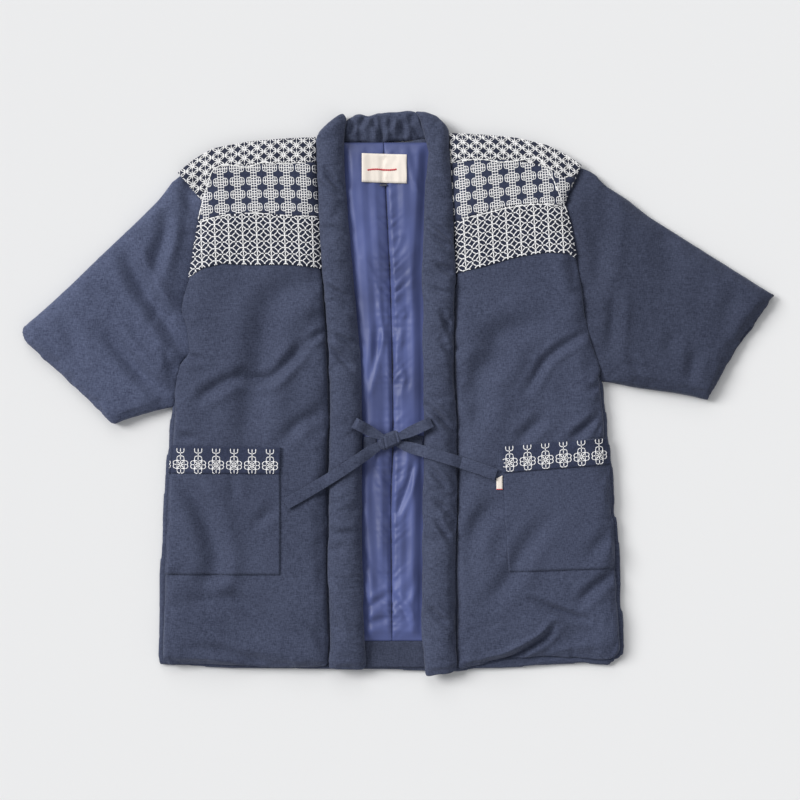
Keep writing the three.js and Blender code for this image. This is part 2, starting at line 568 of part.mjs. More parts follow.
/** A front stretch of the collar, folded over the shoulder at its top. */
function makeCollar(name, front, table, fold, folds, inward) {
  const step = table[0];
  const seams = front.rows.map((row) => ({ x: row.seamX + inward * GAP, y: row.seamY }));
  const bent = (share, seam, free, bulge) => {
    const run = new THREE.Vector2(free.x - seam.x, free.y - seam.y).normalize();
    const out = bulge * Math.sin(Math.PI * share) * inward;
    return { x: mix(seam.x, free.x, share) - run.y * out, y: mix(seam.y, free.y, share) + run.x * out };
  };
  const edgeSeam = { x: fold.seamX, y: fold.seamY };
  const edgeFree = { x: fold.freeX, y: fold.freeY };
  const stepSeam = { x: fold.stepX, y: step.seamY };
  const stepFree = { x: step.freeX, y: step.freeY };
  const nearer = (a, b, share) => ({ x: mix(a.x, b.x, share), y: mix(a.y, b.y, share) });
  const stations = [
    { seam: edgeSeam, free: edgeFree, bulge: fold.bulge, low: 7, high: 16.5 },
    {
      seam: nearer(edgeSeam, stepSeam, 0.4),
      free: nearer(edgeFree, stepFree, 0.4),
      bulge: fold.bulge * 0.6,
      low: COLLAR.foldFloor,
      high: 21.5,
    },
    { seam: stepSeam, free: stepFree, bulge: 0, low: COLLAR.foldFloor, high: null },
    {
      seam: { x: stepSeam.x, y: stepSeam.y - GAP },
      free: { x: stepFree.x, y: stepFree.y - GAP },
      bulge: 0,
      low: COLLAR.floor,
      high: null,
    },
    ...seams.map((seam) => ({
      seam,
      free: { x: read(table, 'seamY', seam.y, 'freeX'), y: read(table, 'seamY', seam.y, 'freeY') },
      bulge: 0,
      low: COLLAR.floor,
      high: null,
    })),
  ];
  const foot = stations.at(-1);
  const footLine = (share) => nearer(foot.seam, foot.free, share);
  const lower = [];
  const upper = [];
  for (const station of stations) {
    const lowRow = [];
    const highRow = [];
    for (const share of COLLAR_COLUMNS) {
      const place = bent(share, station.seam, station.free, station.bulge);
      const width = Math.hypot(station.free.x - station.seam.x, station.free.y - station.seam.y);
      const end = footLine(share);
      const toFoot = Math.hypot(place.x - end.x, place.y - end.y);
      const full = swell(share * width, COLLAR_ROUND.seam) * swell((1 - share) * width, COLLAR_ROUND.free)
        * swell(toFoot, COLLAR_ROUND.foot);
      const crease = foldsAt(folds, place.x, place.y) * full;
      const high = COLLAR.floor + COLLAR.edge + COLLAR.rise * full - crease;
      const nose = share === 1 ? COLLAR.nose : 0;
      lowRow.push(at(place.x, place.y, station.low + nose));
      highRow.push(at(place.x, place.y, Math.min(high, station.high ?? high)));
    }
    lower.push(lowRow);
    upper.push(highRow);
  }
  return sheet(name, COLOURS.cloth, lower, upper);
}

/** The neck stretch of the collar, lying beyond the back neckline. */
function makeNeckCollar() {
  const first = NECKLINE[0].x;
  const last = NECKLINE.at(-1).x;
  const { columns, width } = NECK_COLLAR;
  const shares = [0, 0.1, 0.3, 0.65, 0.9, 1];
  const top = shares.map((share) => Array.from({ length: columns + 1 }, (_, i) => {
    const x = mix(first, last, i / columns);
    const foot = at(x, read(NECKLINE, 'x', x, 'y') + GAP, 0);
    const head = at(read(NECKLINE, 'x', x, 'topX'), read(NECKLINE, 'x', x, 'topY'), 0);
    const place = foot.lerp(head, 1 - share);
    const full = swell(share * width, NECK_ROUND.free) * swell((1 - share) * width, NECK_ROUND.seam);
    const pucker = NECK_COLLAR.pucker * Math.sin(x * 0.52 + share * 1.6) * (0.35 + 0.65 * share) * full;
    const ends = clamp(Math.min(i, columns - i) / 4, 0, 1);
    const rise = mix(NECK_COLLAR.lowEnd - NECK_COLLAR.edge, NECK_COLLAR.rise, ends);
    place.z = NECK_COLLAR.edge + rise * full + pucker;
    return place;
  }));
  return panel('collar_neck', COLOURS.cloth, top, 0, NECK_COLLAR.chamfer);
}

// ---------------------------------------------------------------- sleeves
/** A point a share of the way along a line of straight pieces. */
function onLine(points, share) {
  let length = 0;
  const rows = points.map(([x, y], i) => {
    if (i > 0) length += Math.hypot(x - points[i - 1][0], y - points[i - 1][1]);
    return { length, x, y };
  });
  return { x: read(rows, 'length', share * length, 'x'), y: read(rows, 'length', share * length, 'y') };
}

/** A sleeve: a flattened tube of two padded layers, open at the armhole and the cuff. */
function makeSleeve(name, finish, front, cut, folds, outward) {
  const underarm = rowOf(front, 'underarm');
  const armhole = front.rows.slice(0, underarm + 1).map((row) => [row.sideX + outward * 0.5, row.sideY]);
  const first = (a, b, distance) => {
    const share = distance / Math.hypot(b[0] - a[0], b[1] - a[1]);
    return [mix(a[0], b[0], share), mix(a[1], b[1], share)];
  };
  armhole.splice(1, 0, first(armhole[0], armhole[1], 4));
  armhole.splice(-1, 0, first(armhole.at(-1), armhole.at(-2), 4));
  let run = 0;
  const lengths = armhole.map((point, i) => {
    if (i > 0) run += Math.hypot(point[0] - armhole[i - 1][0], point[1] - armhole[i - 1][1]);
    return run;
  });
  const across = lengths.map((length) => length / run);
  const place = (w, s) => {
    const a = onLine(armhole, w);
    const c = onLine(cut.cuff, w);
    const t = onLine(cut.top, s);
    const b = onLine(cut.underarm, s);
    const corners = (key) => mix(mix(armhole[0][key], armhole.at(-1)[key], w),
      mix(cut.cuff[0][key], cut.cuff.at(-1)[key], w), s);
    return {
      x: mix(a.x, c.x, s) + mix(t.x, b.x, w) - corners(0),
      y: mix(a.y, c.y, s) + mix(t.y, b.y, w) - corners(1),
    };
  };
  const stations = [0, 0.025, 0.07, 0.14, 0.24, 0.36, 0.48, 0.6, 0.72, 0.84, 0.95, 1];
  const topPoint = (w, s) => {
    const here = place(w, s);
    const reach = (other) => Math.hypot(here.x - other.x, here.y - other.y);
    const edges = swell(reach(place(0, s)), SLEEVE_ROUND.top) * swell(reach(place(1, s)), SLEEVE_ROUND.underarm)
      * swell(reach(place(w, 1)), SLEEVE_ROUND.cuff);
    const root = swell(reach(place(w, 0)), SLEEVE_ROUND.armhole);
    const full = edges * mix(SLEEVE_ROUND.armholeFull, 1, root);
    const fold = foldsAt(folds, here.x, here.y) * Math.min(edges, root);
    return at(here.x, here.y, SLEEVE.armhole + SLEEVE.rise * full - fold);
  };
  const upper = stations.map((s) => across.map((w) => topPoint(w, s)));
  const rim = border(upper);
  const nose = rim.map((point) => at(point.x, point.y, SLEEVE.nose));
  const floor = inset(rim, SLEEVE.chamfer, 0);
  const slitStations = [0, 0.1, 0.6, 1];
  const count = across.length - 1;
  const slit = (sign) => slitStations.map((s) => across.map((w, i) => {
    const width = Math.hypot(place(0, s).x - place(1, s).x, place(0, s).y - place(1, s).y);
    const margin = SLEEVE.edgeWall / width;
    const here = place(clamp(w, margin * (1 + 0.1 * i), 1 - margin * (1 + 0.1 * (count - i))), s);
    const middle = mix(SLEEVE_SLIT.rootHeight, SLEEVE_SLIT.height, clamp(s / slitStations[1], 0, 1));
    const open = s === 1 ? SLEEVE_SLIT.cuffOpen : SLEEVE_SLIT.open;
    return at(here.x, here.y, middle + sign * open / 2);
  }));
  const ceiling = slit(1);
  const bed = slit(-1);
  const wall = new Wall();
  wall.grid(upper);
  wall.grid(ceiling, false);
  wall.grid(bed);
  // side walls of the tube and of the slit
  const foot = stations.length - 1;
  const last = across.length - 1;
  const rimIndex = new Map(rim.map((point, i) => [point, i]));
  const below = (point, loop) => loop[rimIndex.get(point)];
  for (let j = 0; j < foot; j += 1) {
    for (const [i, flip] of [[0, false], [last, true]]) {
      const a = upper[j][i];
      const b = upper[j + 1][i];
      const ring = [a, below(a, nose), below(b, nose), b];
      const under = [below(a, nose), below(a, floor), below(b, floor), below(b, nose)];
      wall.quad(...(flip ? ring.reverse() : ring));
      wall.quad(...(flip ? under.reverse() : under));
    }
  }
  for (let j = 0; j + 1 < slitStations.length; j += 1) {
    wall.quad(ceiling[j][0], ceiling[j + 1][0], bed[j + 1][0], bed[j][0]);
    wall.quad(ceiling[j][last], bed[j][last], bed[j + 1][last], ceiling[j + 1][last]);
  }
  // the two open ends: outer edge down to the slit, and the slit down to the floor
  for (const [end, slitEnd, flip] of [[0, 0, true], [foot, slitStations.length - 1, false]]) {
    const ring = (a, b, c, d) => wall.quad(...(flip ? [d, c, b, a] : [a, b, c, d]));
    for (let i = 0; i < last; i += 1) {
      const a = upper[end][i];
      const b = upper[end][i + 1];
      ring(a, ceiling[slitEnd][i], ceiling[slitEnd][i + 1], b);
      ring(bed[slitEnd][i], below(a, nose), below(b, nose), bed[slitEnd][i + 1]);
      ring(below(a, nose), below(a, floor), below(b, floor), below(b, nose));
    }
    for (const [i, turn] of [[0, false], [last, true]]) {
      const a = upper[end][i];
      const points = [a, below(a, nose), bed[slitEnd][i], ceiling[slitEnd][i]];
      ring(...(turn ? points.reverse() : points));
    }
  }
  wall.lid(floor, false);
  return wall.mesh(name, finish);
}

// ---------------------------------------------------------------- lining, facing and labels
/** One half of the satin lining of the back, puffed between the collar and the centre seam. */
function makeLining(side, table, outward) {
  const places = [0, 0.03, 0.2, 0.32, 0.44, 0.56, 0.68, 0.8, 0.91, 0.975, 1];
  const { rows } = LINING;
  const length = LINING_END.top - LINING_END.foot;
  const top = Array.from({ length: rows + 1 }, (_, j) => {
    const y = mix(LINING_END.top, LINING_END.foot, j / rows);
    const seam = read(LINING_SEAM, 'y', y, 'x') + outward * GAP / 2;
    const collar = read(table, 'freeY', y, 'freeX');
    const outer = collar + outward * LINING.underCollar;
    return places.map((share) => {
      const x = mix(outer, seam, share);
      const inside = clamp((collar - x) * outward / 14, 0, 1);
      const atSeam = swell(Math.abs(x - seam), 9);
      const ends = Math.min(swell((j / rows) * length, 10), swell((1 - j / rows) * length, 8));
      const waves = 0.5 + 0.28 * Math.sin(x * 0.31 + y * 0.021) + 0.22 * Math.sin(y * 0.047 + outward);
      const puff = LINING.puff * inside * atSeam * waves;
      return at(x, y, LINING.floor + LINING.thick * mix(0.75, 1, atSeam) + puff * ends);
    });
  });
  return panel(`lining_${side}`, COLOURS.lining, top, LINING.floor, LINING.chamfer);
}

/** A flat rectangle of cloth between two heights. */
function plate(name, finish, corners, low, thick, columns, rows) {
  const [head, headEnd, footEnd, foot] = corners;
  const point = (across, down, lift) => {
    const place = (k) => mix(mix(head[k], headEnd[k], across), mix(foot[k], footEnd[k], across), down);
    return at(place(0), place(1), low(place(0), place(1)) + lift);
  };
  const grid = (lift) => Array.from({ length: rows + 1 }, (_, j) => (
    Array.from({ length: columns + 1 }, (_b, i) => point(i / columns, j / rows, lift))));
  return sheet(name, finish, grid(0), grid(thick));
}

// ---------------------------------------------------------------- ties
/** A flat strip of cloth along a path that runs in one heading, or turns back over itself. */
function strip(name, path, heading, width, thick, steps) {
  const curve = new THREE.CatmullRomCurve3(path, false, 'centripetal');
  const lower = [];
  const upper = [];
  const sideways = at(path[0].y - path[heading].y, path[heading].x - path[0].x, 0).normalize();
  const shares = [0.5, 0, -0.5];
  const crown = [0, TIE.crown, 0];
  curve.getSpacedPoints(steps).forEach((point, k) => {
    const run = curve.getTangentAt(k / steps);
    const up = run.clone().cross(sideways).normalize();
    const edge = (share, lift) => point.clone()
      .addScaledVector(sideways, share * width)
      .addScaledVector(up, lift);
    lower.push(shares.map((share) => edge(share, -thick / 2)));
    upper.push(shares.map((share, i) => edge(share, thick / 2 + crown[i])));
  });
  return sheet(name, COLOURS.cloth, lower, upper);
}

/** A tail of the tie: from the knot over the collar and the front, resting on what lies under it. */
function makeTail(name, under, from, bend, to, startZ) {
  const steps = 16;
  const plan = new THREE.QuadraticBezierCurve(...[from, bend, to].map((p) => new THREE.Vector2(...p)));
  const places = plan.getSpacedPoints(steps);
  const direction = new THREE.Vector2(to[0] - from[0], to[1] - from[1]).normalize();
  const rest = places.map((place) => {
    const heights = [-0.5, -0.25, 0, 0.25, 0.5].map((share) => heightOn(under,
      place.x - direction.y * share * TIE.width, place.y + direction.x * share * TIE.width) ?? 0);
    return Math.max(...heights);
  });
  const lying = (k) => Math.max(...rest.slice(Math.max(0, k - 1), k + 2)) + GAP * 2 + TIE.thick / 2;
  const landing = rest.findIndex((height) => height > COLLAR.floor);
  const path = places.map((place, k) => {
    const z = k < landing ? mix(startZ, lying(landing), k / landing) : lying(k);
    return at(place.x, place.y, z);
  });
  return strip(name, path, steps, TIE.width, TIE.thick, steps);
}

/** A loop of the bow: out from the knot and back over itself. */
function makeLoop(name, from, to, z, endZ) {
  const low = -(TIE.loopGap + TIE.thick) / 2;
  const out = (share, lift) => at(
    mix(from[0], to[0], share),
    mix(from[1], to[1], share),
    mix(z, endZ, share) + lift,
  );
  const path = [
    out(0, low),
    out(0.35, low - 0.3),
    out(0.7, low - 0.3),
    out(0.93, low),
    out(1, 0),
    out(0.93, -low),
    out(0.7, -low + 0.5),
    out(0.35, -low + 0.5),
    out(0, -low),
  ];
  return strip(name, path, 4, TIE.loopWidth, TIE.thick, 16);
}

/** The knot: a small pillow of wrapped cloth. */
function makeKnot() {
  const columns = 8;
  const rows = 6;
  const middle = (KNOT.low + KNOT.high) / 2;
  const rim = 1; // half of the height left along the knot's rim
  const point = (i, j, up) => {
    const a = (i / columns) * 2 - 1;
    const b = 1 - (j / rows) * 2;
    const corner = 1 - 0.12 * a * a * b * b;
    const along = a * KNOT.halfLength * corner * (1 - 0.1 * b * b);
    const across = b * KNOT.halfWidth * corner;
    const full = Math.sqrt(Math.max(0, 1 - a ** 4)) * Math.sqrt(Math.max(0, 1 - b ** 4));
    const top = middle + rim + (KNOT.high - middle - rim) * full;
    const bottom = middle - rim - (middle - rim - KNOT.low) * full;
    const [cos, sin] = [Math.cos(KNOT.turn), Math.sin(KNOT.turn)];
    return at(KNOT.x + along * cos - across * sin, KNOT.y + along * sin + across * cos, up ? top : bottom);
  };
  const grid = (up) => Array.from({ length: rows + 1 }, (_, j) => (
    Array.from({ length: columns + 1 }, (_b, i) => point(i, j, up))));
  return sheet('tie_knot', COLOURS.cloth, grid(false), grid(true));
}

// ---------------------------------------------------------------- the garment
const garment = new THREE.Group();
const add = (...meshes) => {
  garment.add(...meshes);
  return meshes;
};

add(makeBack(), frontRight.mesh, frontLeft.mesh);
const [collarRight, collarLeft] = add(
  makeCollar('collar_right', frontRight, RIGHT_COLLAR, RIGHT_FOLD, RIGHT_COLLAR_FOLDS, 1),
  makeCollar('collar_left', frontLeft, LEFT_COLLAR, LEFT_FOLD, LEFT_COLLAR_FOLDS, -1),
  makeNeckCollar(),
);
add(makeSleeve('sleeve_right', COLOURS.cloth, frontRight, RIGHT_SLEEVE, RIGHT_SLEEVE_FOLDS, -1));
add(makeSleeve('sleeve_left', COLOURS.darkCloth, frontLeft, LEFT_SLEEVE, LEFT_SLEEVE_FOLDS, 1));
add(...makeStrips('right', frontRight), ...makeStrips('left', frontLeft));
add(...makePocket('right', frontRight), ...makePocket('left', frontLeft));
const linings = add(makeLining('right', RIGHT_COLLAR, -1), makeLining('left', LEFT_COLLAR, 1));

const onBack = () => BACK.thick + GAP;
const onLining = (x, y) => {
  const heights = [x - 4, x, x + 4].map((beside) => heightOn(linings, beside, y) ?? 0);
  return Math.max(...heights, LINING.floor + LINING.thick) + GAP * 2;
};
const onLeft = (x, y) => (heightOn([frontLeft.mesh], x, y) ?? FRONT.floor) + GAP;
const facing = [[-68, -339], [52, -339], [54, -375.5], [-66, -374.5]];
const label = [[-52, 335], [10, 333], [10, 293], [-52, 295]];
const tab = [[-27, 292], [-17, 292], [-17, 285], [-27, 285]];
const tag = [[133.4, -103], [141.4, -103], [142, -129], [133.4, -129]];
add(plate('hem_facing', COLOURS.darkCloth, facing, onBack, FACING_CLOTH, 6, 2));
add(plate('neck_label', COLOURS.label, label, onLining, LABEL_CLOTH, 8, 3));
add(plate('size_tab', COLOURS.label, tab, onLining, LABEL_CLOTH, 2, 1));
const [pocketTag] = add(plate('pocket_tag', COLOURS.label, tag, onLeft, LABEL_CLOTH, 2, 3));

const makeRoot = (name, path) => strip(name, path.map((p) => at(...p)), 2, TIE.width, TIE.rootThick, 4);
add(makeKnot());
add(makeRoot('tie_root_right', [[-49.8, -64, 15.6], [-41, -64.4, 16.8], [-31.6, -65.4, 17.8]]));
add(makeRoot('tie_root_left', [[31.6, -63, 15.6], [20, -62, 16.8], [5.8, -60, 17.8]]));
add(makeLoop('tie_loop_right', [-28.5, -55], [-61.5, -37], 25, 29.5));
add(makeLoop('tie_loop_left', [4.6, -54], [43, -36], 25, 29.5));
add(makeTail('tie_tail_right', [collarRight, frontRight.mesh], [-33, -71], [-96, -116], [-157, -149], 23));
add(makeTail('tie_tail_left', [collarLeft, frontLeft.mesh, pocketTag], [3, -68], [66, -84], [133, -108], 22));

garment.position.set(MIDDLE.x, MIDDLE.y, 0);

export default garment;
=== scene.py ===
"""Padded hanten jacket laid on its back: the looks of its cloth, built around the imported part.

Every piece is made from its solid in the frame, in metres. Tables hold millimetres in the same frame:
+X runs to the wearer's left sleeve, +Y to the collar, +Z up off the table.
"""

import json
import math

import bmesh
import bpy
import numpy as np
from bpy.props import FloatProperty, FloatVectorProperty, IntProperty, PointerProperty
from mathutils import Matrix, Vector
from mathutils.bvhtree import BVHTree

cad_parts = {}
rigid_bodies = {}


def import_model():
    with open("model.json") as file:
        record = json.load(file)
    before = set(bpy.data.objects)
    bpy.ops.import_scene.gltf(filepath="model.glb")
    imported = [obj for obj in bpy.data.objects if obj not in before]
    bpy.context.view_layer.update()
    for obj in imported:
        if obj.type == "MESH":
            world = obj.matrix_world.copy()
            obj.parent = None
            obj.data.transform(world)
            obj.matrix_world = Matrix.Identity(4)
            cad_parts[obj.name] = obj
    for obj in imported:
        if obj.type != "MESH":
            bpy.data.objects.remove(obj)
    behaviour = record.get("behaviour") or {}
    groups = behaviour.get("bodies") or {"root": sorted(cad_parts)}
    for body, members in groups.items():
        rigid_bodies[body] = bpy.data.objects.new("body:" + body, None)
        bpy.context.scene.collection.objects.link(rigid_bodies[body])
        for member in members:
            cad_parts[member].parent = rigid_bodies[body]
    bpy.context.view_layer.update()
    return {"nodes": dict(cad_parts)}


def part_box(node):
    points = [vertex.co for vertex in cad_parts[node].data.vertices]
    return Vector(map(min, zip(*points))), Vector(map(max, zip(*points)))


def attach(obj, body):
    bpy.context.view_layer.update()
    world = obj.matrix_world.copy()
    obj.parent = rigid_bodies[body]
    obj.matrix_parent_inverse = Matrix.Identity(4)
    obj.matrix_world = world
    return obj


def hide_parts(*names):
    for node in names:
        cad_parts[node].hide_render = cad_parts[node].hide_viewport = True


bl_info = {
    "name": "Padded hanten jacket",
    "version": (1, 0, 0),
    "blender": (4, 5, 0),
    "location": "View3D > Sidebar > Jacket",
    "description": "Dresses the packed jacket in chambray, stitched strips, satin lining and a tied bow",
    "category": "Object",
}

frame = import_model()
MM = 0.001


# ---------------------------------------------------------------- what a user may change
def linear(code):
    """An sRGB hex colour as linear red, green and blue."""
    values = [int(code[k:k + 2], 16) / 255 for k in (1, 3, 5)]
    return [v / 12.92 if v <= 0.04045 else ((v + 0.055) / 1.055) ** 2.4 for v in values]


def colour_prop(label, what, code):
    """A colour that a user may change, from its sRGB hex code."""
    return FloatVectorProperty(
        name=label, description=what, subtype="COLOR", size=3, min=0, max=1, default=linear(code))


def length_prop(label, what, millimetres):
    """A length that a user may change."""
    return FloatProperty(name=label, description=what, unit="LENGTH", min=0, default=millimetres * MM)


class JacketSizes(bpy.types.PropertyGroup):
    """Lengths and shares of the whole jacket"""

    rise: length_prop("Rise", "Furthest that wadding lifts the cloth off its solid", 2.6)
    spread: length_prop("Spread", "Furthest that wadding pushes an edge out sideways", 1.2)
    pressure: FloatProperty(
        name="Pressure", description="Push of the wadding on the cloth", min=0, default=4)
    frames: IntProperty(
        name="Frames", description="Frames that the cloth is blown up for", min=2, default=20)
    crease_depth: FloatProperty(
        name="Crease depth", description="Times that the panels' creases are as deep as in their tables",
        min=0, default=3.5)
    thread: length_prop("Thread width", "Width of one stitch of the patterns", 1.45)
    sheet_cell: length_prop("Sheet cell", "Longest edge in a laid sheet of cloth", 4.2)
    weave: length_prop("Weave", "Thread spacing of the chambray, coarser than the real 0.4 mm", 1.1)


class JacketColours(bpy.types.PropertyGroup):
    """Colours of every cloth, thread and paper"""

    cloth_light: colour_prop("Chambray, light threads", "Pale weft of the outer cloth", "#50576e")
    cloth_dark: colour_prop("Chambray, dark threads", "Navy warp of the outer cloth", "#252a3d")
    strip_light: colour_prop("Strip ground, light", "Pale threads of the stitched strips' ground", "#3f465e")
    strip_dark: colour_prop("Strip ground, dark", "Navy of the stitched strips' ground", "#20253a")
    thread: colour_prop("Thread", "Off-white cotton thread of the patterns", "#fbfaf9")
    lining: colour_prop("Lining", "Blue satin of the lining", "#505b8f")
    label: colour_prop("Label", "Woven label tape", "#f1e7dc")
    tab: colour_prop("Size tab", "Dark woven tape of the bare size tab", "#4b4d58")
    label_line: colour_prop("Label line", "Red line woven into the label tape", "#c8323c")
    floor: colour_prop("Floor", "Plain pale floor", "#ececec")


# ---------------------------------------------------------------- meshes in millimetres
def new_piece(name, bm):
    """A bmesh as an object at the origin, with no left-over normals or maps."""
    mesh = bpy.data.meshes.new(name)
    bm.to_mesh(mesh)
    bm.free()
    for layer in ("custom_normal", "UVMap"):
        if layer in mesh.attributes:
            mesh.attributes.remove(mesh.attributes[layer])
    piece = bpy.data.objects.new(name, mesh)
    bpy.context.scene.collection.objects.link(piece)
    return piece


def solid_of(node):
    """A merged copy of a node's solid."""
    bm = bmesh.new()
    bm.from_mesh(frame["nodes"][node].data)
    bmesh.ops.remove_doubles(bm, verts=bm.verts, dist=1e-6)
    return bm


def places(piece):
    """Vertex places in millimetres."""
    flat = np.empty(len(piece.data.vertices) * 3)
    piece.data.vertices.foreach_get("co", flat)
    return flat.reshape(-1, 3) / MM


def put(piece, spots):
    """Moves the vertices to places in millimetres."""
    piece.data.vertices.foreach_set("co", (spots * MM).ravel())
    piece.data.update()


def facings(piece):
    """Vertex normals."""
    flat = np.empty(len(piece.data.vertices) * 3)
    piece.data.vertices.foreach_get("normal", flat)
    return flat.reshape(-1, 3)


def settle(piece):
    """Applies the modifiers."""
    graph = bpy.context.evaluated_depsgraph_get()
    mesh = bpy.data.meshes.new_from_object(piece.evaluated_get(graph), depsgraph=graph)
    old = piece.data
    piece.modifiers.clear()
    piece.data = mesh
    bpy.data.meshes.remove(old)
    mesh.name = piece.name


def round_off(piece, levels=1):
    """Rounds a piece's faces off by subdivision."""
    finish = piece.modifiers.new("Subdivision", "SUBSURF")
    finish.levels = finish.render_levels = levels
    settle(piece)


def outer_shell(piece):
    """Keeps the largest connected part, which drops bubbles left inside by the remesh."""
    bm = bmesh.new()
    bm.from_mesh(piece.data)
    left = set(bm.verts)
    shells = []
    while left:
        shell = [left.pop()]
        for vert in shell:
            for edge in vert.link_edges:
                other = edge.other_vert(vert)
                if other in left:
                    left.remove(other)
                    shell.append(other)
        shells.append(shell)
    shells.sort(key=len)
    for shell in shells[:-1]:
        bmesh.ops.delete(bm, geom=shell, context="VERTS")
    bm.to_mesh(piece.data)
    bm.free()


def remesh(piece, cell):
    """Makes a closed form's surface anew in even cells."""
    finish = piece.modifiers.new("Remesh", "REMESH")
    finish.mode = "VOXEL"
    finish.voxel_size = cell
    settle(piece)
    outer_shell(piece)


def hug(piece, name, rounds):
    """Draws a remeshed panel back onto its solid's surface, so that its outline has no steps."""
    form = new_piece(f"{name}_form", solid_of(name))
    if rounds:
        even = piece.modifiers.new("Smooth", "SMOOTH")
        even.iterations = rounds
    draw = piece.modifiers.new("Shrinkwrap", "SHRINKWRAP")
    draw.target = form
    settle(piece)
    bpy.data.objects.remove(form)


# ---------------------------------------------------------------- wadding
UNDERSIDE = -0.3  # faces that point further down than this are the flat underside


def blow_up(piece, rise, spread, growth):
    """Blows a closed form up as cloth. The underside stays flat, and no point moves further than it may."""
    sizes = bpy.context.scene.jacket_sizes
    rest = places(piece)
    up = facings(piece)[:, 2]
    held = piece.vertex_groups.new(name="held")
    held.add([int(i) for i in np.flatnonzero(up < UNDERSIDE)], 1.0, "REPLACE")
    cloth = piece.modifiers.new("Cloth", "CLOTH")
    settings = cloth.settings
    settings.quality = 4
    settings.mass = 0.2
    settings.bending_stiffness = 0.4
    settings.shrink_min = -growth
    settings.use_pressure = True
    settings.uniform_pressure_force = sizes.pressure
    settings.vertex_group_mass = "held"
    settings.effector_weights.gravity = 0
    cloth.point_cache.frame_start = 1
    cloth.point_cache.frame_end = sizes.frames
    for number in range(1, sizes.frames + 1):
        bpy.context.scene.frame_set(number)
    blown = piece.evaluated_get(bpy.context.evaluated_depsgraph_get())
    flat = np.empty(len(rest) * 3)
    blown.data.vertices.foreach_get("co", flat)
    shift = flat.reshape(-1, 3) / MM - rest
    piece.modifiers.clear()
    piece.vertex_groups.clear()
    bpy.context.scene.frame_set(1)
    shift[:, 2] = rise * np.tanh(shift[:, 2] / rise) * np.clip(up * 2 + 0.2, 0, 1)
    shift[:, :2] = spread * np.tanh(shift[:, :2] / spread) * np.clip(up * 2 + 1, 0, 1)[:, None]
    put(piece, rest + shift)


# ---------------------------------------------------------------- creases and puckers
def drawn(line, rounds=2):
    """A smooth line through a few points: corners are cut off in rounds."""
    line = np.array(line, float)
    for _ in range(rounds):
        near = line[:-1] * 0.75 + line[1:] * 0.25
        far = line[:-1] * 0.25 + line[1:] * 0.75
        between = np.stack([near, far], 1).reshape(-1, 2)
        line = np.vstack([line[:1], between[1:-1], line[-1:]])
    return line


def beside(spots, line):
    """For each spot: how far along the line its nearest point is, and its signed distance from it."""
    best = np.full(len(spots), np.inf)
    along = np.zeros(len(spots))
    side = np.zeros(len(spots))
    run = 0.0
    for a, b in zip(line[:-1], line[1:]):
        step = b - a
        length = math.hypot(*step)
        if length == 0:
            continue
        off = spots[:, :2] - a
        share = np.clip(off @ step / length ** 2, 0, 1)
        away = off - share[:, None] * step
        gap = np.hypot(away[:, 0], away[:, 1])
        nearer = gap < best
        best[nearer] = gap[nearer]
        along[nearer] = run + share[nearer] * length
        side[nearer] = np.sign(step[0] * off[nearer, 1] - step[1] * off[nearer, 0])
        run += length
    return along, best * side, run


def ease(part):
    """A share from 0 to 1, made to start and stop softly."""
    return part * part * (3 - 2 * part)


def wander(values, seed):
    """Smooth noise along a line, from -1 to 1, with one hill or dip to each unit."""
    count = 1024
    steps = np.random.default_rng(seed).uniform(-1, 1, count)
    cell = np.floor(values).astype(int)
    part = ease(values - cell)
    return steps[cell % count] * (1 - part) + steps[(cell + 1) % count] * part


def ripple(spots, across, down, turn, seed):
    """Smooth noise over a panel, from -1 to 1, in cells of a size, turned by an angle."""
    count = 64
    steps = np.random.default_rng(seed).uniform(-1, 1, (count, count))
    cos, sin = math.cos(turn), math.sin(turn)
    u = (spots[:, 0] * cos + spots[:, 1] * sin) / across
    v = (spots[:, 1] * cos - spots[:, 0] * sin) / down
    i, j = np.floor(u).astype(int), np.floor(v).astype(int)
    s, t = ease(u - i), ease(v - j)

    def row(step):
        below = (j + step) % count
        return steps[i % count, below] * (1 - s) + steps[(i + 1) % count, below] * s

    return row(0) * (1 - t) + row(1) * t


LIP_PLACE, LIP_WIDTH = 1.9, 0.9  # where a crease's lips stand and how wide they are, in half widths
FAR_LIP = 0.55  # height of the lip on a line's right-hand side, as a share of the other


def crease(spots, line, width, depth, lip, sharp=False):
    """Height of a crease: a trough along a line with a soft lip on each side, fading out at its ends."""
    along, away, length = beside(spots, drawn(line))
    fade = np.sqrt(np.sin(np.pi * np.clip(along / length, 0.02, 0.98)))
    off = np.abs(away) / width
    trough = np.exp(-off * 1.3) if sharp else np.exp(-off ** 2)
    lips = np.exp(-((off - LIP_PLACE) / LIP_WIDTH) ** 2) * np.where(away > 0, 1.0, FAR_LIP)
    return depth * fade * (lip * lips - trough)


def puckers(spots, line, reach, depth, spacing, seed, slant=0.4):
    """Height of the short uneven creases that run in from a sewn line."""
    along, away, _ = beside(spots, np.array(line, float))
    away = np.abs(away)
    hills = wander((along + slant * away) / spacing, seed) + 0.5 * wander(along / spacing * 2.3, seed + 1)
    grow = 0.55 + 0.45 * wander(along / (spacing * 4.5), seed + 2)
    near = np.exp(-(away / (reach * (0.5 + grow))) ** 1.4)
    return depth * hills * near * grow


def press(piece, height):
    """Moves the upper side of a piece by a height at each place, in millimetres."""
    spots = places(piece)
    up = np.clip(facings(piece)[:, 2] * 1.6, 0, 1)
    spots[:, 2] += height(spots) * up
    put(piece, spots)


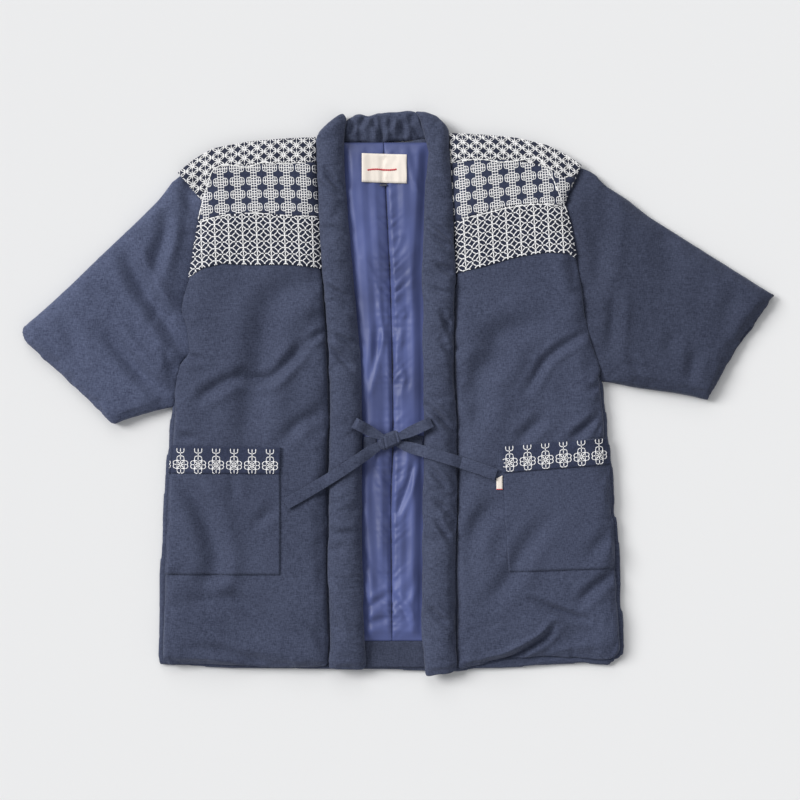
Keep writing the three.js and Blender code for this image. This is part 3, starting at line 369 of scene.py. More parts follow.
def total(spots, creases, seams, seed, swell):
    """All creases, puckers and soft swells of a panel."""
    depth = bpy.context.scene.jacket_sizes.crease_depth
    broad = ripple(spots, 58, 74, 0.5, seed)
    fine = ripple(spots, 24, 33, -0.6, seed + 1)
    height = swell * broad + 0.45 * swell * fine
    for row in creases:
        height += depth * crease(spots, *row)
    for line, reach, depth, spacing in seams:
        seed += 7
        height += puckers(spots, line, reach, depth, spacing, seed)
    return height


# Creases: points of the line, half width, depth, height of the lips as a share, and sharp or soft.
FRONT_RIGHT_CREASES = [
    ([(-107, 169), (-135, 152), (-168, 136), (-182, 114), (-186, 89), (-191, 40), (-206, -47), (-208, -69)],
     18, 1.7, 0.6),
    ([(-131, 67), (-153, 41), (-175, 20), (-197, 19), (-215, 26)], 7, 1.9, 0.6),
    ([(-212, 27), (-241, 15), (-264, 1), (-279, -9)], 8, 1.7, 0.5),
    ([(-99, 88), (-122, 73)], 5, 1.2, 0.5),
    ([(-104, -22), (-134, -36), (-160, -65)], 8, 1.2, 0.5),
    ([(-292, 52), (-268, 46)], 5, 1.3, 0.6, True),
    ([(-303, -57), (-280, -61)], 5, 0.9, 0.5),
    ([(-306, -113), (-283, -137), (-266, -167), (-254, -200), (-248, -236), (-270, -272)], 13, 1.9, 0.7),
    ([(-230, -111), (-224, -146)], 7, 0.9, 0.4),
    ([(-168, -154), (-202, -186)], 8, 0.9, 0.5),
    ([(-293, -289), (-257, -286), (-224, -279), (-197, -305), (-171, -322), (-136, -339)], 10, 1.2, 0.5),
    ([(-292, -349), (-247, -352), (-214, -366), (-155, -369)], 7, 1.0, 0.5),
    ([(-318, -250), (-296, -247)], 6, 0.9, 0.5),
]
FRONT_LEFT_CREASES = [
    ([(262, 86), (239, 73), (217, 59), (199, 41), (189, 23), (176, 2)], 6, 1.4, 0.5),
    ([(232, 187), (243, 167), (251, 150)], 9, 1.4, 0.5),
    ([(196, 100), (155, 89), (133, 76), (137, 52), (110, 30), (106, 1), (115, -25), (94, -53)], 16, 1.7, 0.6),
    ([(277, -30), (254, -51), (237, -64)], 6, 1.7, 0.6),
    ([(284, -39), (270, -56)], 4, 0.9, 0.5, True),
    ([(200, -31), (181, -51), (164, -67)], 8, 1.2, 0.5),
    ([(136, -150), (108, -177), (98, -210), (103, -252)], 12, 1.5, 0.5),
    ([(206, -175), (174, -210), (155, -255), (126, -285)], 11, 1.3, 0.5),
    ([(295, -186), (262, -226)], 9, 1.2, 0.5),
    ([(297, -248), (271, -267), (249, -288)], 7, 1.5, 0.6),
    ([(184, -283), (214, -297), (260, -312)], 5, 2.4, 0.5, True),
    ([(122, -373), (148, -367), (168, -358), (185, -348), (204, -337), (217, -319)], 5, 2.4, 0.9, True),
    ([(196, -352), (228, -344), (262, -346)], 14, 1.3, 0.4),
    ([(283, 12), (262, 6)], 5, 0.9, 0.5),
]
SLEEVE_RIGHT_CREASES = [
    ([(-303, 318), (-293, 262), (-294, 196), (-305, 138)], 13, 1.5, 0.3),
    ([(-379, 209), (-370, 178), (-350, 142), (-328, 108), (-306, 76), (-289, 48)], 11, 2.7, 0.7),
    ([(-319, 260), (-319, 222), (-333, 185), (-337, 154)], 9, 1.6, 0.6),
    ([(-297, 297), (-288, 269), (-281, 242)], 7, 1.7, 0.4),
    ([(-409, 90), (-381, 60), (-366, 38), (-341, 14), (-313, 0)], 10, 2.3, 0.6),
    ([(-323, 57), (-307, 29)], 6, 1.2, 0.5),
    ([(-470, 108), (-448, 78), (-442, 52)], 10, 0.8, 0.5),
    ([(-430, 150), (-408, 132)], 8, 0.7, 0.5),
]
SLEEVE_LEFT_CREASES = [
    ([(262, 318), (262, 240), (272, 170), (290, 110)], 11, 1.2, 0.3),
    ([(281, 296), (286, 240), (281, 185), (275, 148)], 12, 1.7, 0.5),
    ([(300, 150), (296, 96), (291, 40)], 9, 1.6, 0.6),
    ([(410, 58), (402, 17)], 8, 1.2, 0.5),
    ([(381, 87), (372, 56)], 9, 0.8, 0.5),
    ([(352, 236), (372, 190), (376, 150)], 16, 1.1, 0.4),
    ([(470, 150), (452, 110), (449, 84)], 12, 0.8, 0.5),
    ([(318, 46), (336, 30)], 6, 1.0, 0.5),
]
COLLAR_RIGHT_CREASES = [
    ([(-102, 308), (-90, 291), (-75, 277)], 4.5, 1.7, 0.6),
    ([(-106, 289), (-78, 268)], 3.5, 1.0, 0.6),
    ([(-99, 148), (-71, 133)], 4, 1.3, 0.6),
    ([(-88, 82), (-60, 66)], 4, 1.6, 0.6),
    ([(-95, 64), (-64, 36)], 4, 1.2, 0.6),
    ([(-99, -190), (-57, -194)], 6, 1.0, 0.6),
    ([(-92, -301), (-78, -335)], 6, 1.2, 0.6),
    ([(-100, 232), (-74, 221)], 4, 0.8, 0.5),
    ([(-52, -92), (-80, -104)], 4, 0.9, 0.5),
]
COLLAR_LEFT_CREASES = [
    ([(43, 237), (72, 214)], 4, 1.5, 0.6),
    ([(43, 219), (72, 200)], 4, 1.4, 0.6),
    ([(50, 179), (76, 166)], 4, 1.4, 0.6),
    ([(43, 146), (73, 135)], 4, 1.1, 0.6),
    ([(60, 112), (76, 77)], 4, 1.5, 0.6),
    ([(58, 71), (76, 51)], 4, 1.2, 0.6),
    ([(34, -13), (52, -27), (67, -42), (80, -56)], 4.5, 2.6, 0.7, True),
    ([(38, -96), (69, -131)], 4.5, 1.5, 0.6),
    ([(51, -146), (79, -171)], 4, 1.4, 0.6),
    ([(51, -172), (75, -207)], 4, 1.4, 0.6),
    ([(40, -292), (69, -320)], 5, 1.2, 0.6),
]
COLLAR_NECK_CREASES = [
    ([(-61, 374), (-66, 359)], 3.5, 1.1, 0.6),
    ([(-44, 385), (-53, 369)], 4, 1.2, 0.6),
    ([(-35, 381), (-32, 367)], 3, 0.8, 0.6),
    ([(-21, 368), (-24, 349)], 4, 1.1, 0.6),
    ([(-8, 383), (-12, 366)], 3.5, 0.8, 0.6),
    ([(10, 380), (2, 352)], 6, 1.2, 0.6),
    ([(22, 388), (17, 374), (34, 350)], 4.5, 1.4, 0.6),
]
# The lines that puckers run in from, and the edges that are drawn in, for each side.
SEAM = {
    "right": [(-115, 357), (-114, 322), (-111, 248), (-107, 176), (-101, 98), (-97, 19), (-98, -72),
               (-99, -180), (-98, -280), (-98, -380)],
    "left": [(69, 362), (71, 321), (75, 240), (78, 169), (75, 73), (77, 19), (79, -74), (79, -168),
              (77, -245), (78, -308), (79, -384)],
}
FREE = {
    "right": [(-76, 385), (-75, 339), (-72, 266), (-64, 181), (-54, 59), (-50, -39), (-51, -170),
               (-45, -380)],
    "left": [(24, 388), (40, 350), (37, 308), (30, 172), (32, 59), (32, -170), (30, -324), (36, -390)],
}
ARMHOLE = {
    "right": [(-303, 306), (-271, 269), (-283, 200), (-301, 119), (-289, 60), (-313, -15)],
    "left": [(253, 316), (230, 265), (247, 190), (258, 116), (279, 42), (283, 20)],
}
SIDE = {
    "right": [(-313, -15), (-320, -70), (-326, -180), (-332, -330), (-329, -372)],
    "left": [(283, 20), (291, -94), (299, -177), (307, -262), (311, -348), (303, -368)],
}
HEM = {
    "right": [(-330, -372), (-216, -379), (-98, -381)],
    "left": [(79, -384), (111, -380), (172, -372), (240, -358), (303, -369)],
}
CUFF = {
    "right": [(-521, 92), (-510, 65), (-452, 12), (-393, -42)],
    "left": [(521, 136), (497, 102), (463, 56), (446, 22), (426, -8)],
}
STRIP_FOOT = {
    "right": [(-291, 164), (-276, 172), (-245, 179), (-200, 180), (-150, 179), (-107, 175)],
    "left": [(245, 190), (230, 198), (200, 200), (160, 190), (120, 178), (78, 168)],
}
NECK_SEAM = [(-100, 350), (-60, 345), (0, 348), (58, 357)]
CENTRE_SEAM = [(-20, 348), (-15, 243), (-10, 156), (-8, 56), (-6, -65), (-10, -143), (-9, -247),
                (-8, -343)]


# ---------------------------------------------------------------- materials
def material(name, colour, roughness, **values):
    """A material with its shader's own values set, and that shader."""
    made = bpy.data.materials.new(name)
    made.use_nodes = True
    shader = made.node_tree.nodes["Principled BSDF"]
    shader.inputs["Base Color"].default_value = (*colour, 1)
    shader.inputs["Roughness"].default_value = roughness
    for socket, value in values.items():
        shader.inputs[socket.replace("_", " ")].default_value = value
    made.diffuse_color = (*colour, 1)
    return made, shader


def node(tree, kind, links=None, outs=None, **settings):
    """Adds a node, sets its values and inputs, and links sockets into and out of it."""
    made = tree.nodes.new(kind)
    for key, value in settings.items():
        if hasattr(made, key):
            setattr(made, key, value)
        else:
            made.inputs[key.replace("_", " ")].default_value = value
    for socket, source in (links or {}).items():
        tree.links.new(source, made.inputs[socket])
    for socket, target in (outs or {}).items():
        tree.links.new(made.outputs[socket], target)
    return made


def noise(tree, across, along, detail=2.0):
    """Soft noise on Object coordinates, with one hill to each given number of millimetres."""
    source = node(tree, "ShaderNodeTexCoord")
    scale = [1 / (MM * size) for size in (across, along, max(across, along))]
    place = node(tree, "ShaderNodeMapping", {"Vector": source.outputs["Object"]}, Scale=scale)
    made = node(tree, "ShaderNodeTexNoise", {"Vector": place.outputs["Vector"]}, Scale=1.0, Detail=detail)
    return made.outputs["Fac"]


def combined(tree, operation, first, second):
    """A sum or product of two values of a material, the second of them a socket or a number."""
    made = node(tree, "ShaderNodeMath", {0: first}, operation=operation)
    if isinstance(second, float):
        made.inputs[1].default_value = second
    else:
        tree.links.new(second, made.inputs[1])
    return made.outputs[0]


def relief(tree, shader, height, strength, depth):
    """Small relief that light picks out, at most as deep as given in millimetres."""
    node(tree, "ShaderNodeBump", {"Height": height}, {"Normal": shader.inputs["Normal"]},
         Strength=strength, Distance=depth * MM)


def ramp(tree, shader, share, *stops):
    """Colours the shader by a share, through stops that are each a place and a colour."""
    made = node(tree, "ShaderNodeValToRGB", {"Fac": share}, {"Color": shader.inputs["Base Color"]})
    for element, (place, colour) in zip(made.color_ramp.elements, stops):
        element.position = place
        element.color = (*colour, 1)


def chambray(name, light, dark):
    """Plain-woven cotton of dark warp and pale weft: a matt, slightly flecked blue with soft slubs."""
    weave = bpy.context.scene.jacket_sizes.weave / MM
    mid = [(a + b) / 2 for a, b in zip(light, dark)]
    made, shader = material(
        name, mid, 0.88, Sheen_Weight=0.22, Sheen_Roughness=0.45, Sheen_Tint=(0.62, 0.66, 0.8, 1),
        Specular_IOR_Level=0.25)
    tree = made.node_tree
    weft = noise(tree, weave * 5, weave, 3.0)
    warp = noise(tree, weave, weave * 4, 3.0)
    fleck = noise(tree, weave, weave, 1.0)
    cloud = noise(tree, 70, 90)
    crossed = combined(tree, "ADD", weft, warp)
    clouded = combined(tree, "ADD", crossed, combined(tree, "MULTIPLY", cloud, 0.3))
    share = node(
        tree, "ShaderNodeMapRange", {"Value": clouded}, From_Min=0.72, From_Max=1.58, clamp=True)
    ramp(tree, shader, share.outputs["Result"], (0, dark), (1, light))
    relief(tree, shader, combined(tree, "ADD", crossed, fleck), 0.35, 0.35)


def thread_cotton(name, colour):
    """Twisted cotton thread, bright and matt, with a soft edge."""
    made, shader = material(name, colour, 0.7, Sheen_Weight=0.7, Specular_IOR_Level=0.45)
    relief(made.node_tree, shader, noise(made.node_tree, 0.8, 0.8), 0.4, 0.3)


def satin(name, colour):
    """Woven polyester satin: smooth and softly glossy, with fine threads down its length."""
    made, shader = material(name, colour, 0.5, Specular_IOR_Level=0.45, Sheen_Weight=0.1)
    tree = made.node_tree
    deep = [value * 0.72 for value in colour]
    bright = [value * 1.1 for value in colour]
    ramp(tree, shader, noise(tree, 50, 80, 1.0), (0.3, deep), (0.7, bright))
    relief(tree, shader, noise(tree, 1.6, 14), 0.12, 0.3)


def label_tape(name, colour):
    """Woven polyester label tape: flat, cream, with a fine rib."""
    made, shader = material(name, colour, 0.7, Specular_IOR_Level=0.3)
    relief(made.node_tree, shader, noise(made.node_tree, 6, 0.9), 0.3, 0.2)


def floor_paper(name, colour):
    """Matt seamless paper: plain and pale, with hardly any tooth."""
    made, shader = material(name, colour, 0.95, Specular_IOR_Level=0.1)
    relief(made.node_tree, shader, noise(made.node_tree, 3, 3), 0.05, 0.1)


CLOTH, STRIP, SATIN, TAPE = "outer_cloth", "stitched_cloth", "lining_satin", "label_cloth"


def dress(piece, slot, cloth, *nodes):
    """Gives a finished piece its material, its body and the nodes that it stands for; its slot is not used.
    """
    if not piece.data.materials:
        piece.data.materials.append(bpy.data.materials[cloth])
    piece.data.shade_smooth()
    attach(piece, "root")
    if nodes:
        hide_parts(*nodes)
    return piece


# ---------------------------------------------------------------- padded panels
# Seams that pucker a panel: the line, and the reach, depth and spacing of its puckers.
FRONT_SEAMS = [(SEAM, 16, 1.0, 10), (ARMHOLE, 22, 1.3, 13), (SIDE, 18, 1.2, 15), (HEM, 18, 1.3, 14),
               (STRIP_FOOT, 14, 0.6, 12)]
COLLAR_SEAMS = [(SEAM, 20, 1.7, 8), (FREE, 17, 1.5, 9)]
# Each padded panel: its remesh cell, how much its cloth outgrows its solid, its creases, its seams and how
# deep its soft swells are.
PANELS = [
    ("back", 4.5, 0, [], [], 0),
    ("front_right", 5, 0.02, FRONT_RIGHT_CREASES, FRONT_SEAMS, 1.5),
    ("front_left", 5, 0.02, FRONT_LEFT_CREASES, FRONT_SEAMS, 1.5),
    ("collar_right", 3.6, 0.03, COLLAR_RIGHT_CREASES, COLLAR_SEAMS, 0.8),
    ("collar_left", 3.6, 0.03, COLLAR_LEFT_CREASES, COLLAR_SEAMS, 0.8),
    ("collar_neck", 3.6, 0.03, COLLAR_NECK_CREASES, [({"neck": NECK_SEAM}, 30, 4.5, 9)], 0.5),
    ("sleeve_right", 4, 0.02, SLEEVE_RIGHT_CREASES, [(ARMHOLE, 30, 1.5, 12), (CUFF, 18, 1.4, 13)], 0.8),
    ("sleeve_left", 4, 0.02, SLEEVE_LEFT_CREASES, [(ARMHOLE, 30, 1.7, 12), (CUFF, 18, 1.6, 12)], 0.9),
]
SMOOTHING = {"back": 3, "front": 3}  # rounds of smoothing before a panel is drawn onto its solid
# Lit and shaded copies of the chambray: the right sleeve is painted light and the left sleeve painted shade,
# as light falls on each.
PAINTED_TONES = {"sleeve_left": "Navy chambray, painted shade", "sleeve_right": "Navy chambray, painted light"}
COLLAR_CROWN = 5.2  # how far the collar stands up between its seam and its free edge
NECK_EDGE, NECK_FADE = 358, 24  # where the neck band's upper edge starts to fill out, and over what height
NECK_CENTRE, NECK_HALF = -22, 55
SLEEVE_SINK = 0.36  # share of a sleeve's height that is lost at the armhole
TUCK_REACH, SINK_REACH = 15, 40  # how far from the armhole a sleeve slides in, and sinks
EDGE_REACH, EDGE_FOOT = 13, 4  # how far in from an edge it is drawn, and how high its undercut foot is


def gap_to(spots, line):
    """Each spot's distance from a line."""
    return np.abs(beside(spots, np.array(line, float))[1])


def crown(spots, side):
    """Height of a collar that is fullest between its seam and its free edge."""
    to_seam = gap_to(spots, SEAM[side])
    to_free = gap_to(spots, FREE[side])
    across = to_seam / (to_seam + to_free)
    return COLLAR_CROWN * (1 - np.abs(2 * across - 1) ** 2.2)


def lift_neck(piece):
    """Fills the neck band's upper edge out into soft lumps, highest towards its two ends."""
    spots = places(piece)
    upper = np.clip((spots[:, 1] - NECK_EDGE) / NECK_FADE, 0, 1)
    ends = np.clip(np.abs(spots[:, 0] - NECK_CENTRE) / NECK_HALF, 0, 1)
    spots[:, 1] += upper * (1.5 + 4 * ends ** 2 + 1.1 * wander(spots[:, 0] / 13, 71))
    put(piece, spots)


def tuck(piece, line, shift):
    """Slides a sleeve's edge in under the front along the armhole, and sinks the sleeve towards it."""
    spots = places(piece)
    gap = gap_to(spots, line)
    spots[:, 0] += shift * np.clip(1 - gap / TUCK_REACH, 0, 1)
    spots[:, 2] *= 1 - SLEEVE_SINK * np.clip(1 - gap / SINK_REACH, 0, 1) ** 1.5
    put(piece, spots)


def draw_edge(piece, line, inwards, undercut=3.0):
    """Draws a panel's edge in from the outline and undercuts its foot, which leaves a dark groove."""
    spots = places(piece)
    near = np.clip(1 - gap_to(spots, line) / EDGE_REACH, 0, 1)
    deep = undercut * np.clip(1 - (spots[:, 2] - spots[:, 2].min()) / EDGE_FOOT, 0, 1)
    size = math.hypot(*inwards)
    spots[:, :2] += (near * (1 + deep / size))[:, None] * np.array(inwards)
    put(piece, spots)


# How far the edges of the fronts, and of what is sewn on them, are drawn in from the outline.
SIDE_EDGES = {"right": (SIDE["right"], (4.2, 0.0)), "left": (SIDE["left"], (-4.2, 0.0))}
HEM_EDGES = {"right": (HEM["right"], (0.0, 2.6)), "left": (HEM["left"], (0.0, 2.2))}
CUFF_DEPTH = 16  # how far the space between a sleeve's two layers runs in
CUFF_HEIGHT, CUFF_GAP = 9, 2.4  # middle and half height of that space
CUFFS = {"right": (0.66, 0.75), "left": (-0.82, 0.57)}  # direction from each cuff into its sleeve
TUCKS = {"right": 6, "left": -6}  # how far each sleeve slides in under its front


def open_cuff(piece, line, inwards):
    """Sinks the middle of a cuff's end in between the sleeve's two layers, and puckers its rim."""
    spots = places(piece)
    along, away, length = beside(spots, np.array(line, float))
    rim = np.exp(-(away / 7) ** 2) * (1.1 * wander(along / 9, 83) + 0.8 * wander(along / 21, 84))
    spots[:, :2] -= rim[:, None] * np.array(inwards)
    near = np.exp(-(away / 3.5) ** 4) * np.exp(-((spots[:, 2] - CUFF_HEIGHT) / CUFF_GAP) ** 4)
    inside = np.clip(np.minimum(along, length - along) / 14, 0, 1)
    spots[:, :2] += (near * inside * CUFF_DEPTH)[:, None] * np.array(inwards)
    put(piece, spots)


def pad(name, cell, growth, creases, seams, swell, seed):
    """A padded panel: remeshed, blown up, rounded off and creased."""
    sizes = bpy.context.scene.jacket_sizes
    kind, _, side = name.partition("_")
    piece = new_piece(f"{name}_padded", solid_of(name))
    remesh(piece, cell * MM)
    hug(piece, name, SMOOTHING.get(kind, 0))
    if growth:
        blow_up(piece, sizes.rise / MM, sizes.spread / MM, growth)
    if growth:
        round_off(piece)
    if kind == "collar" and side in SEAM:
        press(piece, lambda spots: crown(spots, side))
    if name == "collar_neck":
        lift_neck(piece)
    lines = [(line[side], *sizes_of) for line, *sizes_of in seams]
    press(piece, lambda spots: total(spots, creases, lines, seed, swell))
    if kind == "front":
        draw_edge(piece, *SIDE_EDGES[side])
        draw_edge(piece, *HEM_EDGES[side])
    if kind == "sleeve":
        open_cuff(piece, CUFF[side], CUFFS[side])
        tuck(piece, ARMHOLE[side], TUCKS[side])
    return piece


class JACKET_OT_padding(bpy.types.Operator):
    """Back, fronts, collar and sleeves: chambray over wadding, blown up and creased"""

    bl_idname = "jacket.padding"
    bl_label = "Padded panels"

    def execute(self, context):
        for number, (name, *row) in enumerate(PANELS):
            piece = pad(name, *row, 31 * number + 5)
            dress(piece, CLOTH, PAINTED_TONES.get(name, "Navy chambray"), name)
        return {"FINISHED"}


# ---------------------------------------------------------------- laid sheets
FINE_CELL = 3.6  # longest edge in the facing or a label, in millimetres
SATIN_CELL = 3.1  # longest edge in the lining, fine enough for the puckers of its seam
LAY_GAP = 0.25  # clear height under a laid sheet
STRIP_WALL, POCKET_WALL, SATIN_WALL, FACING_WALL, TAPE_WALL = 1.2, 1.6, 1.2, 1.4, 0.7  # thicknesses
CUT_SPARE = 1.002  # how much larger a sheet is cut than the surface that it makes


def join_faces(bm):
    """Joins the solid's triangles to quads."""
    bmesh.ops.join_triangles(
        bm, faces=bm.faces, angle_face_threshold=math.radians(60), angle_shape_threshold=math.radians(180))


def top_of(node_name, cell):
    """The upper surface of a sheet's solid, as quads with no edge much longer than a cell."""
    bm = solid_of(node_name)
    under = [face for face in bm.faces if face.normal.z < 0.2]
    bmesh.ops.delete(bm, geom=under, context="FACES")
    join_faces(bm)
    for _ in range(4):
        long = [edge for edge in bm.edges if edge.calc_length() > cell]
        if not long:
            break
        bmesh.ops.subdivide_edges(bm, edges=long, cuts=1, use_grid_fill=True)
    return bm


def height_of(*pieces):
    """A function for how high pieces, or nodes' solids, reach at a place, in millimetres, or None."""
    trees = []
    for piece in pieces:
        bm = solid_of(piece) if isinstance(piece, str) else bmesh.new()
        if not isinstance(piece, str):
            bm.from_mesh(piece.data)
        trees.append(BVHTree.FromBMesh(bm))
        bm.free()

    def height(x, y):
        hits = [tree.ray_cast(Vector((x * MM, y * MM, 0.2)), Vector((0, 0, -1)))[0] for tree in trees]
        found = [hit.z / MM for hit in hits if hit is not None]
        return max(found) if found else None

    return height


def lay(piece, under, lift):
    """Lays a surface on what is under it, a distance above; beside it, the surface stays as it is."""
    spots = places(piece)
    for spot in spots:
        below = under(spot[0], spot[1])
        if below is not None:
            spot[2] = below + lift
    put(piece, spots)


def thicken(piece, thickness):
    """Gives a surface its thickness, downwards."""
    wall = piece.modifiers.new("Solidify", "SOLIDIFY")
    wall.thickness = thickness * MM
    wall.offset = -1
    wall.use_even_offset = True
    settle(piece)


def flat_size(name):
    """Width and length of a node's box."""
    low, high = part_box(name)
    return high.x - low.x, high.y - low.y


def cut_area(piece):
    """Area of all of a piece's faces."""
    return sum(face.area for face in piece.data.polygons)


def sew_up(piece, thickness, slot, cloth, name):
    """Thickens and dresses a surface, and gives the area that is cut for it."""
    area = cut_area(piece)
    thicken(piece, thickness)
    dress(piece, slot, cloth, name)
    return area


def laid_sheet(name, under, thickness, slot, cloth):
    """A sheet of cloth on a panel, made from the top of its solid and laid, and its area."""
    piece = new_piece(f"{name}_cloth", top_of(name, bpy.context.scene.jacket_sizes.sheet_cell))
    if name.startswith("pocket"):
        draw_edge(piece, *SIDE_EDGES[name.split("_")[-1]], undercut=0)
    lay(piece, under, LAY_GAP + thickness)
    return piece, sew_up(piece, thickness, slot, cloth, name)


TAPE_ENDS = {"pocket_tag": (-200, -114.5), "size_tab": (287, 400)}  # lowest and highest place that shows
TAPE_LIFT = 1.1  # height of a tape's upper side over what is under it
TAPE_DROP = 0.4  # how far it may lie below its solid's upper side
TAPE_BESIDE = (-6, 0, 6)  # places across at which the height under it is read
TAG_SLOPE = 0.5  # how steeply the pocket tag's upper end slants, where the tie crosses it


def tape(name, under, cloth="Woven label tape"):
    """A label or tab of woven tape, laid level over what is under it, and its area."""
    label = new_piece(f"{name}_tape", top_of(name, FINE_CELL * MM))
    spots = places(label)
    low = np.array([max(under(x + off, y) or 0 for off in TAPE_BESIDE) for x, y, _ in spots])
    spots[:, 2] = np.maximum(low + TAPE_LIFT, spots[:, 2] - TAPE_DROP)
    if name in TAPE_ENDS:
        low_end, high_end = TAPE_ENDS[name]
        slope = TAG_SLOPE * (spots[:, 0] - spots[:, 0].mean()) if name == "pocket_tag" else 0
        spots[:, 1] = np.clip(spots[:, 1], low_end, high_end + slope)
    put(label, spots)
    return label, sew_up(label, TAPE_WALL, TAPE, cloth, name)


def declare_sheet(name, area):
    """Works out a sheet's cut, its flat width and length, from its box and area, but keeps nothing."""
    width, length = flat_size(name)
    width = max(width, area / length * CUT_SPARE)


# ---------------------------------------------------------------- thread patterns, charted on a repeat
def chain(*points):
    """Stitches from each point to the next, as pairs of ends."""
    return list(zip(points[:-1], points[1:]))


def mirrored(stitches):
    """The stitches and their mirror image across the middle of the repeat."""
    return stitches + [((-ax, ay), (-bx, by)) for (ax, ay), (bx, by) in stitches]


def petals(across, up, steps):
    """Four slanting petals from a repeat's middle to its corners; steps give place along and half width."""
    length = math.hypot(across, up)
    stitches = []
    for side in (-1, 1):
        for turn in (-1, 1):
            out_x = -turn * side * up / length
            out_y = side * across / length
            edge = [(t * across + out * out_x, turn * t * up + out * out_y) for t, out in steps]
            stitches += mirrored(chain(*edge))
    return stitches


def star_chart():
    """Petals that meet in stars, with a bar down every other column of stars: a hana-zashi ground."""
    across, up = 9.0, 6.55
    bar = chain((0, 1), (0, up - 0.3)) + chain((0, up + 0.3), (0, 2 * up - 1))
    petal = [(0.05, 0.2), (0.5, 1.6), (0.95, 0.2)]
    return petals(across, up, petal) + bar, (2 * across, 2 * up)


def flower_chart():
    """Rounded crosses of small squares, linked in columns."""
    u, half = 3.3, 3.7
    stitches = []
    for x in (-half, 0, half):
        stitches += [((x, y - 1.45), (x, y + 1.45)) for y in (-7.3, -4.4, -1.5, 1.5, 4.4, 7.3)]
    for y in (-2.1 * u, -u, 0, u, 2.1 * u):
        stitches += [((-half, y), (0, y)), ((0, y), (half, y))]
    lobe = chain((half, 5), (7.8, 5), (9.6, 3), (9.6, -3), (7.8, -5), (half, -5))
    lobe += [((6.5, 4.2), (6.5, 0.3)), ((6.5, -0.3), (6.5, -4.2)), ((half, 0), (9.3, 0))]
    return stitches + mirrored(lobe), (22.8, 18.1)


def lattice_chart():
    """Chains of slanting ovals that cross, with a bar down every other column of crossings."""
    across, up = 9.6, 8.4
    bar = chain((0, -2.4), (0, 2.4)) + chain((0, 4.6), (0, 2 * up - 4.6))
    oval = [(0.05, 0.5), (0.27, 2.8), (0.73, 2.8), (0.95, 0.9)]
    return petals(across, up, oval) + bar, (2 * across, 2 * up)


def band_chart():
    """A flat flower with an arch above and below it, and the foot of the next one above."""
    upper = chain((5, 22.6), (5, 18.2), (3.4, 16.3), (0.5, 16.1))
    arch = chain((5, 0.6), (5, 9.6), (3.4, 11.7), (0.5, 11.9))
    lobe = chain(
        (0.6, 5.6), (8, 5.4), (10.3, 3.6), (10.3, 1.2), (8.8, 0), (10.3, -1.2), (10.3, -3.6), (8, -5.4),
        (0.6, -5.6))
    inner = [((0.8, 0), (4.6, 0)), ((5.4, 0), (8.2, 0)), ((0.6, 0.6), (4.2, 4.4)),
             ((0.6, -0.6), (4.2, -4.4))]
    inner += [((ax, -ay), (bx, -by)) for (ax, ay), (bx, by) in arch]
    middle = [((0, 22.4), (0, 16.8)), ((0, 15.6), (0, 12.2)), ((0, 11.4), (0, 6.2)), ((0, 5.2), (0, 0.8)),
              ((0, -0.8), (0, -5.2)), ((0, -6.2), (0, -11.4))]
    return mirrored(upper + arch + lobe + inner) + middle, (24.7, 60)


# How wide each pattern's thread lies, as a share of the thread width.
THREAD_SHARES = {band_chart: 1.05, star_chart: 1.08, flower_chart: 1.0, lattice_chart: 1.2}
EDGE_SHARE = 1.3
# Where each pattern lies: strip, chart, the middle of one repeat, slope of its rows, lean of its columns,
# and how far its rows bow up between the strip's ends.
STRIPS = [
    ("yoke_top_right", star_chart, (-157.4, 330), 0.1, 0.03, 5),
    ("yoke_middle_right", flower_chart, (-130, 294), 0.015, 0.055, 3),
    ("yoke_bottom_right", lattice_chart, (-117.4, 219), 0.01, 0.04, 4),
    ("yoke_top_left", star_chart, (90.5, 336.5), -0.05, 0.1, 4),
    ("yoke_middle_left", flower_chart, (88.6, 290.5), 0.1, 0.075, 2),
    ("yoke_bottom_left", lattice_chart, (92, 210), 0.2, 0.05, 9),
    ("pocket_band_right", band_chart, (-175.9, -98.9), -0.012, 0.0, 0),
    ("pocket_band_left", band_chart, (153.8, -94.7), 0.08, 0.03, 0),
]
# Runs of thread that close the strips' edges, side by side, as points along each.
EDGE_RUNS = {
    "right": [
        [(-114, 320), (-135, 318), (-152, 317), (-176, 317), (-184, 319), (-192, 317), (-201, 313),
         (-210, 311.5), (-219, 313), (-228, 314), (-238, 316), (-245, 314), (-252, 310), (-256, 306),
         (-258, 301), (-261, 290), (-267, 272), (-273, 252), (-279, 224), (-283, 198), (-287, 173)],
        [(-111, 244), (-125, 244.5), (-142, 244), (-160, 245.5), (-179, 247.5), (-201, 248.5),
         (-225, 247.5), (-240, 245.5), (-256, 242), (-270, 237)],
    ],
    "left": [
        [(75, 320), (92, 321), (106, 322.5), (122, 322), (137, 318.5), (148, 318.5), (163, 320.5),
         (180, 323.5), (191, 326), (199, 321), (206, 306), (213, 297), (219, 282), (226, 266), (231, 257),
         (238, 239), (243, 221), (246, 200), (247, 190)],
        [(77, 238), (94, 242), (112, 246), (128, 250), (147, 255), (166, 258), (185, 260.5),
         (204, 260.5), (219, 259.5), (229, 256)],
    ],
}


def grain():
    """One stitch of unit size: a low-sided ball, to be drawn out to a grain."""
    bm = bmesh.new()
    bmesh.ops.create_uvsphere(bm, u_segments=6, v_segments=4, radius=1)
    mesh = bpy.data.meshes.new("stitch")
    bm.to_mesh(mesh)
    bm.free()
    return mesh


def on_cloth(a, b, height):
    """The part of a stitch that has cloth under it, as its ends in space, or None."""
    spots = [Vector(a), Vector(b)]
    found = [height(*spot) for spot in spots]
    if found == [None, None]:
        return None
    if None in found:
        lost = found.index(None)
        kept, step = spots[1 - lost], (spots[lost] - spots[1 - lost]) / 2
        reach = kept
        for _ in range(4):
            if height(*(reach + step)) is not None:
                reach = reach + step
            step = step / 2
        spots[lost], found[lost] = reach, height(*reach)
    return [Vector((*spot, z)) for spot, z in zip(spots, found)]


